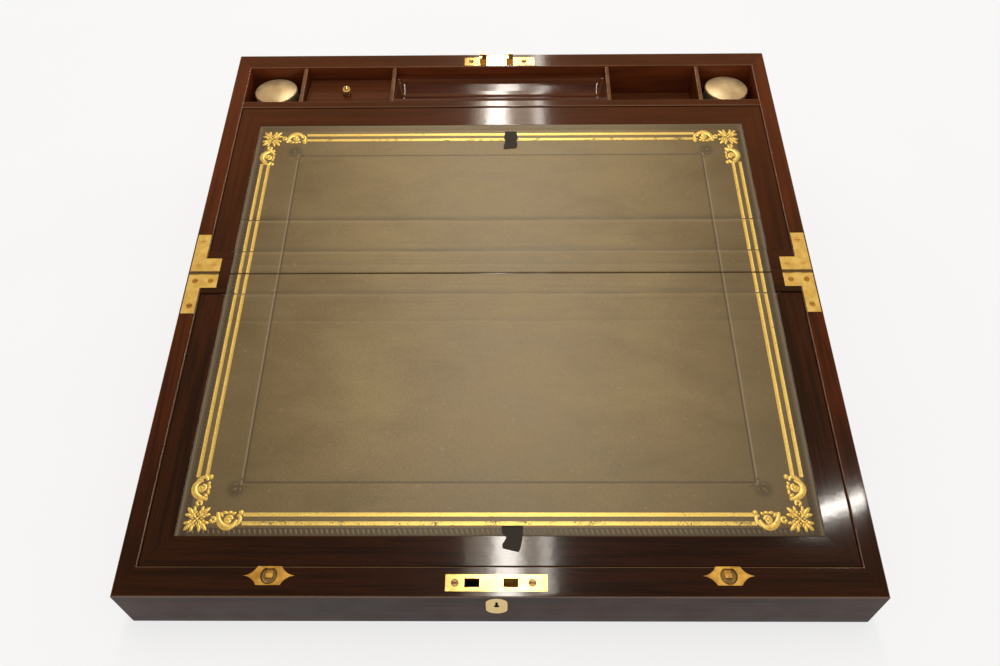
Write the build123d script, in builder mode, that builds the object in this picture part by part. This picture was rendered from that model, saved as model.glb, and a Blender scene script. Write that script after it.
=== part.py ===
"""Writing slope, opened out on a table.

Millimetres, +X right, +Y away from the writer, +Z up. The origin is on the table, under the middle
of the hinge line. The taller half, the base, lies behind it (+Y) and the lid lies in front (-Y).
Their rims share one sloping plane, the rim plane, which passes through the hinge line.
"""

import os
from math import cos, radians, sin, sqrt

from build123d import *

os.makedirs("parts", exist_ok=True)

# ---------------------------------------------------------------------------------------------
# Sizes that set the box
# ---------------------------------------------------------------------------------------------
box_width = 460.0           # left to right, outside
half_depth = 228.0          # from the hinge line to either end, measured level
hinge_height = 80.0         # from the table to the rim plane at the hinge line
slope_angle = 10.0          # of the rim plane, in degrees
side_wall = 12.0
hinge_wall = 12.0
back_wall = 14.3
lock_wall = 17.7
base_panel = 6.0
lid_panel_thick = 6.0
rim_gap = 0.1               # between the two rims when the lid is shut
rim_round = 0.8             # softened inner edge of a rim

# Writing surface
base_band = 20.0            # strip of leather glued along the hinge line, measured down the slope
lid_band = 18.0
rail_depth = 20.0
flap_drop = 1.0             # from the rim plane down to the writing surface
skin = 0.8                  # thickness of the leather and of the crossbanding round it
flap_board = 6.2
flap_gap = 0.5              # between a flap and the walls round it
flap_border = 18.5          # from the inner face of a wall to the edge of the leather
fold_gap = 0.15             # from a fold of the leather to the pieces on either side
fold_relief = 0.6           # step in a rail's ends, where the border of a raised flap passes
fold_step = 1.4             # depth of that step, from the rim plane
ledge_width = 8.0
ledge_height = 8.0
tab_thick = 0.6
tab_x = 8.6
upper_tab_width = 10.0
upper_tab_length = 18.0
upper_tab_inset = 10.0      # from the leather's far edge to the tab
lower_tab_width = 13.0
lower_tab_length = 14.0
lower_tab_inset = 6.0       # how far the tab runs up over the leather's near edge

# Compartments behind the writing surface
tray_wall = 7.0
compartment_depth = 40.4
divider_thick = 3.5
divider_drop = 1.0
inkwell_cell = 46.25        # width of an inkwell's cell, beside the box's side
side_cell = 74.0            # width of the covered and of the open cell
floor_thick = 4.0
deep_floor_top = 50.0
shallow_floor_top = 90.5
loose_gap = 0.4             # round a piece that lifts out

# Pen tray, lift-out cover and inkwells
tray_top = 109.0
scoop_radius = 16.0
scoop_width = 30.0
scoop_front_flat = 3.0
scoop_end_flat = 3.0
cover_top = 105.5
cover_thick = 4.0
cleat_width = 5.0
cleat_height = 4.0
knob_radius = 3.75
knob_neck_radius = 1.6
knob_neck = 0.6
knob_foot_radius = 3.0
knob_foot = 0.8
knob_stem_radius = 1.0
knob_stem = 3.0
bottle_width = 42.0
bottle_depth = 38.0
bottle_height = 46.0
bottle_corner = 4.0
bottle_wall = 4.0
bottle_floor = 6.0
neck_radius = 13.5
neck_height = 7.0
mouth_radius = 9.0
cap_radius = 18.5
cap_dome = 4.5
cap_lift_gap = 0.4          # between the bottle's shoulder and the cap
cap_bore_gap = 0.4
cap_crown = 1.6
seal_thick = 1.4
seal_gap = 0.1

# Hinges
leaf_margin = 1.2           # from the outside of the box to the leaf
leaf_arm = 9.8
leaf_length = 35.0
leaf_reach = 23.0           # from the outside of the box to the tip of the short arm
leaf_depth = 13.0
leaf_thick = 1.2
barrel_radius = 1.2
barrel_gap = 0.25
hinge_pin_radius = 0.6
pin_run = 0.05              # running clearance of the lid's knuckle on its pin
knuckle_gap = 0.15
short_arm_screw = 7.0       # from the hinge line to the two screws of the short arm
long_arm_screw = 28.5
screw_edge = 5.2            # from the tip and from the outer side of the leaf to a screw

# Screws
screw_radius = 1.1
screw_head_radius = 2.2
screw_head = 1.1
screw_length = 9.0
screw_slot = 0.5
screw_fit = 0.05

# Lock, its link plate and the hooks
lock_x = -1.0
lock_edge = 8.3             # from the end of the slope to the middle of either plate
plate_length = 61.0
plate_width = 10.0
plate_thick = 1.8
slot_length = 8.8
slot_width = 5.0
slot_shift = -0.4           # from the middle of a hook to the middle of its slot
hook_x = (-15.2, 8.0)
hook_width = 6.0
hook_thick = 2.4
hook_height = 9.0
notch_start = 4.6           # from the rim plane up to the hook's notch
notch_height = 3.2
notch_depth = 2.2
plate_screw_x = (-25.8, 20.4)
case_length = 40.0
case_width = 8.6
case_depth = 19.0
case_end = 1.0
case_skin = 1.0
case_floor = 1.0
case_ledge = 1.1
bolt_thick = 2.4
bolt_length = 33.6
bolt_side_gap = 0.3
bolt_rest_gap = 0.1
bolt_travel = 4.0
bolt_approach = 2.0         # from the hook to the end of its window when the lock is open
bolt_relief = 0.8
keyhole_drop = 14.0         # from the rim down the outside of the box to the keyhole
keyhole_radius = 1.8
keyhole_slot = 1.6
keyhole_length = 6.0
escutcheon_radius = 6.5
escutcheon_length = 10.0
escutcheon_thick = 1.2

# Catches that hold the lower flap
catch_inset = 92.7          # from the outside of the box to the middle of a catch
catch_length = 31.7
catch_flat = 14.5
catch_width = 11.1
catch_hollow = 1.0          # how far the catch's pointed ends are hollowed
catch_thick = 1.8
catch_dish_radius = 4.3
catch_dish = 1.1
catch_travel = 2.6
catch_bolt_width = 5.6
catch_bolt_thick = 2.2
catch_bolt_length = 9.0
catch_bolt_gap = 0.2
catch_bolt_setback = 0.4    # from the wall's inner face to the bolt's tip, drawn back
catch_nub_x = 4.4
catch_nub_y = 2.8
catch_nub_run = 5.4         # from the wall's inner face to the middle of the thumb nub
catch_nub_drop = 0.3

# ---------------------------------------------------------------------------------------------
# What follows from them
# ---------------------------------------------------------------------------------------------
SIDES = ((-1, "left"), (1, "right"))
TOP_ALIGN = (Align.CENTER, Align.CENTER, Align.MAX)
LOW_ALIGN = (Align.CENTER, Align.CENTER, Align.MIN)
tilt = radians(slope_angle)
half_width = box_width / 2
inner_half = half_width - side_wall
back_inner = half_depth - back_wall
lock_inner = half_depth - lock_wall
compartment_front = back_inner - compartment_depth
tray_wall_front = compartment_front - tray_wall
outer_divider_x = inner_half - inkwell_cell - divider_thick / 2
middle_divider_x = outer_divider_x - side_cell - divider_thick
catch_x = half_width - catch_inset
axis_height = hinge_height + rim_gap / 2
carcass_top = 2 * hinge_height          # above every part of the rim plane over the box
rim = Plane(origin=(0, 0, hinge_height), x_dir=(1, 0, 0), z_dir=(0, -sin(tilt), cos(tilt)))


def along(level):
    """A level distance from the hinge line, measured along the slope."""
    return level / cos(tilt)


def upright(distance):
    """The upright plane across the box at a level distance behind the hinge line."""
    return Plane(origin=(0, distance, 0), x_dir=(-1, 0, 0), z_dir=(0, 1, 0))


def spot(x, run, depth=0.0):
    """A place on the slope, with its own axes: across, up the slope and out of it."""
    return Plane(origin=rim.from_local_coords((x, run, -depth)), x_dir=rim.x_dir, z_dir=rim.z_dir)


board_depth = flap_drop + skin                      # from the rim plane to the bare board of a flap
flap_under = board_depth + flap_board
flap_half = inner_half - flap_gap
leather_half = inner_half - flap_border
leather_far = along(tray_wall_front) - flap_border
leather_near = along(lock_inner) - flap_border
lock_run = along(half_depth) - lock_edge            # of the middle of either plate, up or down
upper_flap_end = tray_wall_front - flap_gap         # level distances of the flaps' free ends
lower_flap_end = lock_inner - flap_gap


# ---------------------------------------------------------------------------------------------
# Shapes that come back more than once
# ---------------------------------------------------------------------------------------------
def leaf_outline(side, end):
    """One L-shaped hinge leaf on the rim plane: side is left or right, end is base or lid."""
    outer = side * (half_width - leaf_margin)
    inner = side * (half_width - leaf_reach)
    elbow = outer - side * leaf_arm
    with BuildSketch(rim) as outline:
        with BuildLine():
            Polyline(
                (outer, 0),
                (outer, end * leaf_length),
                (elbow, end * leaf_length),
                (elbow, end * leaf_depth),
                (inner, end * leaf_depth),
                (inner, 0),
                close=True,
            )
        make_face()
    return outline.sketch


def leaf_screws(side, end):
    """Places of the three screws of one hinge leaf."""
    outer = half_width - leaf_margin - screw_edge
    inner = half_width - leaf_reach + screw_edge
    return (
        (side * outer, end * short_arm_screw),
        (side * inner, end * short_arm_screw),
        (side * outer, end * long_arm_screw),
    )


def hinge_rod(side, radius, start=0.0, stop=1.0):
    """A round bar on the hinge axis, over a stretch of the leaf's edge from its inner end."""
    inner = half_width - leaf_reach
    length = leaf_reach - leaf_margin
    with BuildSketch(Plane.YZ.offset(side * (inner + start * length))) as section:
        with Locations((0, axis_height)):
            Circle(radius)
    with BuildPart() as rod:
        extrude(section.sketch, amount=side * (stop - start) * length)
    return rod.part


def hinge_bed(side, end):
    """All that is cut from the wood for one hinge leaf: its bed, the barrel's groove, the holes."""
    with BuildPart() as bed:
        extrude(leaf_outline(side, end), amount=-leaf_thick)
        add(hinge_rod(side, barrel_radius + barrel_gap, -0.01, 1.01))
        with Locations(*[spot(x, run) for x, run in leaf_screws(side, end)]):
            Cylinder(screw_radius + screw_fit, screw_length + screw_fit, align=TOP_ALIGN)
    return bed.part


def screw_group(places):
    """Countersunk slotted screws, let in flush with the rim at the given places."""
    with BuildPart() as screws:
        with Locations(*[spot(x, run) for x, run in places]):
            Cone(screw_radius, screw_head_radius, screw_head, align=TOP_ALIGN)
            Cylinder(screw_radius, screw_length, align=TOP_ALIGN)
            Box(2 * screw_head_radius, screw_slot, screw_slot, align=TOP_ALIGN, mode=Mode.SUBTRACT)
    return screws.part


def wall_plan(*corners):
    """The mitred plan of one wall, drawn on the table."""
    with BuildSketch() as plan:
        with BuildLine():
            Polyline(*corners, close=True)
        make_face()
    return plan.sketch


def plate_outline(run):
    """The long brass plate of the lock, or of its hooks, at one end of the slope."""
    with BuildSketch(rim) as outline:
        with Locations((lock_x, run)):
            Rectangle(plate_length, plate_width)
    return outline.sketch


def plate_screws(run):
    """Places of the screws that hold one long brass plate."""
    return tuple((x, run) for x in plate_screw_x)


def keyhole_outline(growth=0.0):
    """The keyhole, drawn on the outside of the lock wall, with its slot towards the rim."""
    with BuildSketch(keyhole_plane) as outline:
        Circle(keyhole_radius + growth)
        Rectangle(
            keyhole_slot + 2 * growth,
            keyhole_length + growth,
            align=(Align.CENTER, Align.MIN),
        )
    return outline.sketch


def escutcheon_outline():
    """Round-ended plate round the keyhole."""
    with BuildSketch(keyhole_plane) as outline:
        SlotCenterToCenter(escutcheon_length, 2 * escutcheon_radius, rotation=90)
    return outline.sketch


lock_wall_height = rim.from_local_coords((0, -along(half_depth), 0)).Z
keyhole_plane = Plane(
    origin=(lock_x, -half_depth, lock_wall_height - keyhole_drop),
    x_dir=(1, 0, 0),
    z_dir=(0, -1, 0),
)

# ---------------------------------------------------------------------------------------------
# Base: carcass
# ---------------------------------------------------------------------------------------------
with BuildPart() as base_bottom:
    with BuildSketch():
        with Locations((0, hinge_wall)):
            Rectangle(2 * inner_half, back_inner - hinge_wall, align=(Align.CENTER, Align.MIN))
    extrude(amount=base_panel)
base_bottom.part.label = "base_bottom"
export_step(base_bottom.part, "parts/base_bottom.step")

for side, word in SIDES:
    with BuildPart() as base_side:
        side_plan = wall_plan(
            (side * half_width, 0),
            (side * inner_half, hinge_wall),
            (side * inner_half, back_inner),
            (side * half_width, half_depth),
        )
        extrude(side_plan, amount=carcass_top)
        split(bisect_by=rim, keep=Keep.BOTTOM)
        rim_face = base_side.faces().filter_by(rim)[0]
        fillet(rim_face.edges().sort_by(Axis.X)[-1 if side < 0 else 0], rim_round)
        add(hinge_bed(side, 1), mode=Mode.SUBTRACT)
    base_side.part.label = f"base_side_{word}"
    export_step(base_side.part, f"parts/base_side_{word}.step")

with BuildPart() as base_hinge_wall:
    front_plan = wall_plan(
        (-half_width, 0),
        (half_width, 0),
        (inner_half, hinge_wall),
        (-inner_half, hinge_wall),
    )
    extrude(front_plan, amount=carcass_top)
    split(bisect_by=rim, keep=Keep.BOTTOM)
    with BuildSketch(rim):
        Rectangle(2 * leather_half, 2 * base_band)
    extrude(amount=-board_depth, mode=Mode.SUBTRACT)
    for side, word in SIDES:
        add(hinge_bed(side, 1), mode=Mode.SUBTRACT)
base_hinge_wall.part.label = "base_hinge_wall"
export_step(base_hinge_wall.part, "parts/base_hinge_wall.step")

with BuildPart() as base_back_wall:
    back_plan = wall_plan(
        (-inner_half, back_inner),
        (inner_half, back_inner),
        (half_width, half_depth),
        (-half_width, half_depth),
    )
    extrude(back_plan, amount=carcass_top)
    split(bisect_by=rim, keep=Keep.BOTTOM)
    rim_face = base_back_wall.faces().filter_by(rim)[0]
    fillet(rim_face.edges().sort_by(Axis.Y)[0], rim_round)
    extrude(plate_outline(lock_run), amount=-plate_thick, mode=Mode.SUBTRACT)
    with Locations(*[spot(x, run) for x, run in plate_screws(lock_run)]):
        Cylinder(
            screw_radius + screw_fit, screw_length + screw_fit, align=TOP_ALIGN, mode=Mode.SUBTRACT
        )
base_back_wall.part.label = "base_back_wall"
export_step(base_back_wall.part, "parts/base_back_wall.step")

# Rail behind the hinge wall, which carries the flap's leather hinge
with BuildPart() as base_flap_rail:
    with BuildSketch(Plane.XY.offset(hinge_height - rail_depth)):
        with Locations((0, hinge_wall)):
            Rectangle(
                2 * inner_half,
                base_band * cos(tilt) - hinge_wall,
                align=(Align.CENTER, Align.MIN),
            )
    extrude(amount=carcass_top)
    split(bisect_by=rim, keep=Keep.BOTTOM)
    with BuildSketch(rim):
        Rectangle(2 * leather_half, 3 * base_band)
    extrude(amount=-board_depth, mode=Mode.SUBTRACT)
    with BuildSketch(rim):
        with Locations((0, base_band)):
            Rectangle(2 * inner_half, 2 * fold_relief)
    extrude(amount=-fold_step, mode=Mode.SUBTRACT)
    for side, word in SIDES:
        add(hinge_bed(side, 1), mode=Mode.SUBTRACT)
base_flap_rail.part.label = "base_flap_rail"
export_step(base_flap_rail.part, "parts/base_flap_rail.step")

# Ledges under the two sides of the upper flap
with BuildPart() as base_flap_ledges:
    with BuildSketch(rim.offset(-flap_under)):
        for side, word in SIDES:
            with Locations((side * (inner_half - ledge_width / 2), 0)):
                Rectangle(ledge_width, 2 * along(half_depth))
    extrude(amount=-ledge_height)
    split(bisect_by=upright(tray_wall_front), keep=Keep.BOTTOM)
    split(bisect_by=upright(base_band * cos(tilt)), keep=Keep.TOP)
base_flap_ledges.part.label = "base_flap_ledges"
export_step(base_flap_ledges.part, "parts/base_flap_ledges.step")

# ---------------------------------------------------------------------------------------------
# Base: compartments
# ---------------------------------------------------------------------------------------------
deep_floor_under = deep_floor_top - floor_thick

with BuildPart() as tray_front_wall:
    with BuildSketch(Plane.XY.offset(deep_floor_under)):
        with Locations((0, tray_wall_front)):
            Rectangle(2 * inner_half, tray_wall, align=(Align.CENTER, Align.MIN))
    extrude(amount=carcass_top)
    split(bisect_by=rim, keep=Keep.BOTTOM)
    top_edges = tray_front_wall.faces().filter_by(rim)[0].edges().filter_by(Axis.X)
    fillet(top_edges, rim_round)
tray_front_wall.part.label = "tray_front_wall"
export_step(tray_front_wall.part, "parts/tray_front_wall.step")

# Deep floors under the inkwells and the covered cell
left_floor_end = -middle_divider_x + divider_thick / 2
right_floor_start = outer_divider_x - divider_thick / 2
with BuildPart() as deep_floors:
    with BuildSketch(Plane.XY.offset(deep_floor_under)):
        with Locations((-inner_half, compartment_front)):
            Rectangle(
                left_floor_end + inner_half, compartment_depth, align=(Align.MIN, Align.MIN)
            )
        with Locations((inner_half, compartment_front)):
            Rectangle(
                inner_half - right_floor_start, compartment_depth, align=(Align.MAX, Align.MIN)
            )
    extrude(amount=floor_thick)
deep_floors.part.label = "deep_floors"
export_step(deep_floors.part, "parts/deep_floors.step")

# Shallow floor under the pen tray and the open cell
with BuildPart() as shallow_floor:
    with BuildSketch(Plane.XY.offset(shallow_floor_top - floor_thick)):
        with Locations((left_floor_end, compartment_front)):
            Rectangle(
                right_floor_start - left_floor_end, compartment_depth, align=(Align.MIN, Align.MIN)
            )
    extrude(amount=floor_thick)
shallow_floor.part.label = "shallow_floor"
export_step(shallow_floor.part, "parts/shallow_floor.step")

DIVIDERS = (
    ("divider_inkwell_left", -outer_divider_x, deep_floor_top),
    ("divider_tray_left", -middle_divider_x, deep_floor_top),
    ("divider_tray_right", middle_divider_x, shallow_floor_top),
    ("divider_inkwell_right", outer_divider_x, deep_floor_top),
)
for divider_name, divider_x, divider_foot in DIVIDERS:
    with BuildPart() as divider:
        with BuildSketch(Plane.XY.offset(divider_foot)):
            with Locations((divider_x, compartment_front)):
                Rectangle(divider_thick, compartment_depth, align=(Align.CENTER, Align.MIN))
        extrude(amount=carcass_top)
        split(bisect_by=rim.offset(-divider_drop), keep=Keep.BOTTOM)
        top_edges = divider.faces().filter_by(rim)[0].edges().filter_by(Axis.X, reverse=True)
        fillet(top_edges, rim_round)
    divider.part.label = divider_name
    export_step(divider.part, f"parts/{divider_name}.step")

# Cleats that carry the lift-out cover of the left cell
cover_cell_left = -outer_divider_x + divider_thick / 2
cover_cell_right = -middle_divider_x - divider_thick / 2
cover_under = cover_top - cover_thick
with BuildPart() as cover_cleats:
    with BuildSketch(Plane.XY.offset(cover_under - cleat_height)):
        with Locations((cover_cell_left, compartment_front)):
            Rectangle(cleat_width, compartment_depth, align=(Align.MIN, Align.MIN))
        with Locations((cover_cell_right, compartment_front)):
            Rectangle(cleat_width, compartment_depth, align=(Align.MAX, Align.MIN))
    extrude(amount=cleat_height)
cover_cleats.part.label = "cover_cleats"
export_step(cover_cleats.part, "parts/cover_cleats.step")

# ---------------------------------------------------------------------------------------------
# Pieces that lift out of the compartments
# ---------------------------------------------------------------------------------------------
cell_middle = compartment_front + compartment_depth / 2
loose_depth = compartment_depth - 2 * loose_gap

with BuildPart() as pen_tray:
    tray_half = middle_divider_x - divider_thick / 2 - loose_gap
    tray_front = compartment_front + loose_gap
    scoop_rise = sqrt(scoop_radius**2 - (scoop_width / 2) ** 2)
    scoop_y = tray_front + scoop_front_flat + scoop_width / 2
    scoop_end = tray_half - scoop_end_flat - scoop_width / 2
    with BuildSketch(Plane.XY.offset(shallow_floor_top)):
        with Locations((0, tray_front)):
            Rectangle(2 * tray_half, loose_depth, align=(Align.CENTER, Align.MIN))
    extrude(amount=tray_top - shallow_floor_top)
    with BuildSketch(Plane.YZ):
        with Locations((scoop_y, tray_top + scoop_rise)):
            Circle(scoop_radius)
    extrude(amount=scoop_end, both=True, mode=Mode.SUBTRACT)
    with Locations(*[(side * scoop_end, scoop_y, tray_top + scoop_rise) for side, word in SIDES]):
        Sphere(scoop_radius, mode=Mode.SUBTRACT)
pen_tray.part.label = "pen_tray"
export_step(pen_tray.part, "parts/pen_tray.step")

cover_x = (cover_cell_left + cover_cell_right) / 2
with BuildPart() as cover_board:
    with BuildSketch(Plane.XY.offset(cover_under)):
        with Locations((cover_x, cell_middle)):
            Rectangle(cover_cell_right - cover_cell_left - 2 * loose_gap, loose_depth)
    extrude(amount=cover_thick)
    fillet(cover_board.faces().sort_by(Axis.Z)[-1].edges(), rim_round)
    with Locations((cover_x, cell_middle, cover_top)):
        Cylinder(
            knob_stem_radius + screw_fit,
            knob_stem + screw_fit,
            align=TOP_ALIGN,
            mode=Mode.SUBTRACT,
        )
cover_board.part.label = "cover_board"
export_step(cover_board.part, "parts/cover_board.step")

# Ball knob, with its foot on the cover and its stem in it
with BuildPart() as cover_knob:
    ball_height = cover_top + knob_foot + knob_neck + knob_radius
    with Locations((cover_x, cell_middle, cover_top)):
        Cylinder(knob_stem_radius, knob_stem, align=TOP_ALIGN)
        Cylinder(knob_foot_radius, knob_foot, align=LOW_ALIGN)
        Cylinder(knob_neck_radius, knob_foot + knob_neck + knob_radius, align=LOW_ALIGN)
    with Locations((cover_x, cell_middle, ball_height)):
        Sphere(knob_radius)
cover_knob.part.label = "cover_knob"
export_step(cover_knob.part, "parts/cover_knob.step")

# Inkwells: a square glass bottle, its domed cap and the leather seal in the cap
inkwell_x = (outer_divider_x + divider_thick / 2 + inner_half) / 2
shoulder = deep_floor_top + bottle_height
neck_top = shoulder + neck_height
cap_foot = shoulder + cap_lift_gap
cap_rim = neck_top + seal_gap + seal_thick + cap_crown
cap_bore = neck_radius + cap_bore_gap
for side, word in SIDES:
    well_x = side * inkwell_x
    with BuildPart() as inkwell_bottle:
        with BuildSketch(Plane.XY.offset(deep_floor_top)):
            with Locations((well_x, cell_middle)):
                RectangleRounded(bottle_width, bottle_depth, bottle_corner)
        extrude(amount=bottle_height)
        fillet(inkwell_bottle.faces().sort_by(Axis.Z)[-1].edges(), bottle_corner / 2)
        with Locations((well_x, cell_middle, shoulder - bottle_corner)):
            Cylinder(neck_radius, neck_height + bottle_corner, align=LOW_ALIGN)
        with Locations((well_x, cell_middle, deep_floor_top + bottle_floor)):
            Cylinder(
                bottle_depth / 2 - bottle_wall,
                bottle_height - bottle_floor - bottle_wall,
                align=LOW_ALIGN,
                mode=Mode.SUBTRACT,
            )
            Cylinder(
                mouth_radius,
                bottle_height + neck_height - bottle_floor,
                align=LOW_ALIGN,
                mode=Mode.SUBTRACT,
            )
    inkwell_bottle.part.label = f"inkwell_{word}"
    export_step(inkwell_bottle.part, f"parts/inkwell_{word}.step")

    with BuildPart() as inkwell_cap:
        with BuildSketch(Plane.XZ.offset(-cell_middle)):
            with BuildLine():
                Line((well_x, cap_rim + cap_dome), (well_x, cap_foot))
                Line((well_x, cap_foot), (well_x + cap_radius, cap_foot))
                Line((well_x + cap_radius, cap_foot), (well_x + cap_radius, cap_rim))
                TangentArc(
                    (well_x, cap_rim + cap_dome),
                    (well_x + cap_radius, cap_rim),
                    tangent=(1, 0),
                )
            make_face()
        revolve(axis=Axis((well_x, cell_middle, 0), (0, 0, 1)))
        with Locations((well_x, cell_middle, cap_foot)):
            Cylinder(
                cap_bore,
                neck_top + seal_gap + seal_thick - cap_foot,
                align=LOW_ALIGN,
                mode=Mode.SUBTRACT,
            )
    inkwell_cap.part.label = f"inkwell_cap_{word}"
    export_step(inkwell_cap.part, f"parts/inkwell_cap_{word}.step")

    with BuildPart() as inkwell_seal:
        with Locations((well_x, cell_middle, neck_top + seal_gap)):
            Cylinder(cap_bore, seal_thick, align=LOW_ALIGN)
    inkwell_seal.part.label = f"inkwell_seal_{word}"
    export_step(inkwell_seal.part, f"parts/inkwell_seal_{word}.step")

# ---------------------------------------------------------------------------------------------
# Upper flap, hinged by its leather on the base's rail
# ---------------------------------------------------------------------------------------------
upper_flap_start = base_band + fold_gap

with BuildPart() as upper_flap_board:
    with BuildSketch(rim.offset(-board_depth)):
        with Locations((0, upper_flap_start)):
            Rectangle(2 * flap_half, along(half_depth), align=(Align.CENTER, Align.MIN))
    extrude(amount=-flap_board)
    split(bisect_by=upright(upper_flap_end), keep=Keep.BOTTOM)
upper_flap_board.part.label = "upper_flap_board"
export_step(upper_flap_board.part, "parts/upper_flap_board.step")

# Crossbanding of veneer round three sides of the leather
with BuildPart() as upper_flap_border:
    with BuildSketch(rim.offset(-board_depth)):
        with Locations((0, upper_flap_start)):
            Rectangle(2 * flap_half, along(half_depth), align=(Align.CENTER, Align.MIN))
            Rectangle(
                2 * leather_half,
                leather_far - upper_flap_start,
                align=(Align.CENTER, Align.MIN),
                mode=Mode.SUBTRACT,
            )
    extrude(amount=skin)
    split(bisect_by=upright(upper_flap_end), keep=Keep.BOTTOM)
upper_flap_border.part.label = "upper_flap_border"
export_step(upper_flap_border.part, "parts/upper_flap_border.step")

with BuildPart() as upper_flap_leather:
    with BuildSketch(rim.offset(-board_depth)):
        with Locations((0, upper_flap_start)):
            Rectangle(
                2 * leather_half,
                leather_far - upper_flap_start,
                align=(Align.CENTER, Align.MIN),
            )
    extrude(amount=skin)
upper_flap_leather.part.label = "upper_flap_leather"
export_step(upper_flap_leather.part, "parts/upper_flap_leather.step")

with BuildPart() as upper_flap_tab:
    with BuildSketch(rim.offset(-flap_drop)):
        with Locations((tab_x, leather_far - upper_tab_inset)):
            Rectangle(upper_tab_width, upper_tab_length, align=(Align.CENTER, Align.MAX))
    extrude(amount=tab_thick)
upper_flap_tab.part.label = "upper_flap_tab"
export_step(upper_flap_tab.part, "parts/upper_flap_tab.step")

with BuildPart() as base_band_leather:
    with BuildSketch(rim.offset(-board_depth)):
        with Locations((0, fold_gap)):
            Rectangle(
                2 * leather_half,
                base_band - 2 * fold_gap,
                align=(Align.CENTER, Align.MIN),
            )
    extrude(amount=skin)
base_band_leather.part.label = "base_band_leather"
export_step(base_band_leather.part, "parts/base_band_leather.step")

# ---------------------------------------------------------------------------------------------
# Lid: carcass
# ---------------------------------------------------------------------------------------------
with BuildPart() as lid_panel:
    with BuildSketch():
        Rectangle(box_width, half_depth, align=(Align.CENTER, Align.MAX))
    extrude(amount=lid_panel_thick)
lid_panel.part.label = "lid_panel"
export_step(lid_panel.part, "parts/lid_panel.step")

for side, word in SIDES:
    with BuildPart() as lid_side:
        side_plan = wall_plan(
            (side * half_width, 0),
            (side * inner_half, -hinge_wall),
            (side * inner_half, -lock_inner),
            (side * half_width, -half_depth),
        )
        extrude(side_plan, amount=carcass_top)
        split(bisect_by=rim, keep=Keep.BOTTOM)
        split(bisect_by=Plane.XY.offset(lid_panel_thick), keep=Keep.TOP)
        rim_face = lid_side.faces().filter_by(rim)[0]
        fillet(rim_face.edges().sort_by(Axis.X)[-1 if side < 0 else 0], rim_round)
        add(hinge_bed(side, -1), mode=Mode.SUBTRACT)
    lid_side.part.label = f"lid_side_{word}"
    export_step(lid_side.part, f"parts/lid_side_{word}.step")

with BuildPart() as lid_hinge_wall:
    hinge_plan = wall_plan(
        (-half_width, 0),
        (half_width, 0),
        (inner_half, -hinge_wall),
        (-inner_half, -hinge_wall),
    )
    extrude(hinge_plan, amount=carcass_top)
    split(bisect_by=rim, keep=Keep.BOTTOM)
    split(bisect_by=Plane.XY.offset(lid_panel_thick), keep=Keep.TOP)
    with BuildSketch(rim):
        Rectangle(2 * leather_half, 2 * lid_band)
    extrude(amount=-board_depth, mode=Mode.SUBTRACT)
    for side, word in SIDES:
        add(hinge_bed(side, -1), mode=Mode.SUBTRACT)
lid_hinge_wall.part.label = "lid_hinge_wall"
export_step(lid_hinge_wall.part, "parts/lid_hinge_wall.step")

with BuildPart() as lid_flap_rail:
    with BuildSketch(Plane.XY.offset(hinge_height - rail_depth)):
        with Locations((0, -hinge_wall)):
            Rectangle(
                2 * inner_half,
                lid_band * cos(tilt) - hinge_wall,
                align=(Align.CENTER, Align.MAX),
            )
    extrude(amount=carcass_top)
    split(bisect_by=rim, keep=Keep.BOTTOM)
    with BuildSketch(rim):
        Rectangle(2 * leather_half, 3 * lid_band)
    extrude(amount=-board_depth, mode=Mode.SUBTRACT)
    with BuildSketch(rim):
        with Locations((0, -lid_band)):
            Rectangle(2 * inner_half, 2 * fold_relief)
    extrude(amount=-fold_step, mode=Mode.SUBTRACT)
    for side, word in SIDES:
        add(hinge_bed(side, -1), mode=Mode.SUBTRACT)
lid_flap_rail.part.label = "lid_flap_rail"
export_step(lid_flap_rail.part, "parts/lid_flap_rail.step")

# Ledges under the two sides and the near end of the lower flap
with BuildPart() as lid_flap_ledges:
    with BuildSketch(rim.offset(-flap_under)):
        Rectangle(2 * inner_half, 2 * along(half_depth))
        Rectangle(
            2 * (inner_half - ledge_width),
            2 * (along(lock_inner) - ledge_width),
            mode=Mode.SUBTRACT,
        )
    extrude(amount=-ledge_height)
    split(bisect_by=upright(-lock_inner), keep=Keep.TOP)
    split(bisect_by=upright(-lid_band * cos(tilt)), keep=Keep.BOTTOM)
lid_flap_ledges.part.label = "lid_flap_ledges"
export_step(lid_flap_ledges.part, "parts/lid_flap_ledges.step")

with BuildPart() as lid_band_leather:
    with BuildSketch(rim.offset(-board_depth)):
        with Locations((0, -fold_gap)):
            Rectangle(
                2 * leather_half,
                lid_band - 2 * fold_gap,
                align=(Align.CENTER, Align.MAX),
            )
    extrude(amount=skin)
lid_band_leather.part.label = "lid_band_leather"
export_step(lid_band_leather.part, "parts/lid_band_leather.step")

# ---------------------------------------------------------------------------------------------
# Lid: lock wall, with the beds of the lock and of the two catches
# ---------------------------------------------------------------------------------------------
catch_edge = -along(lock_inner)             # run of the wall's inner face, at the rim
catch_bolt_top = catch_thick + catch_bolt_gap
catch_bolt_reach = catch_bolt_setback + catch_bolt_length


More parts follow.
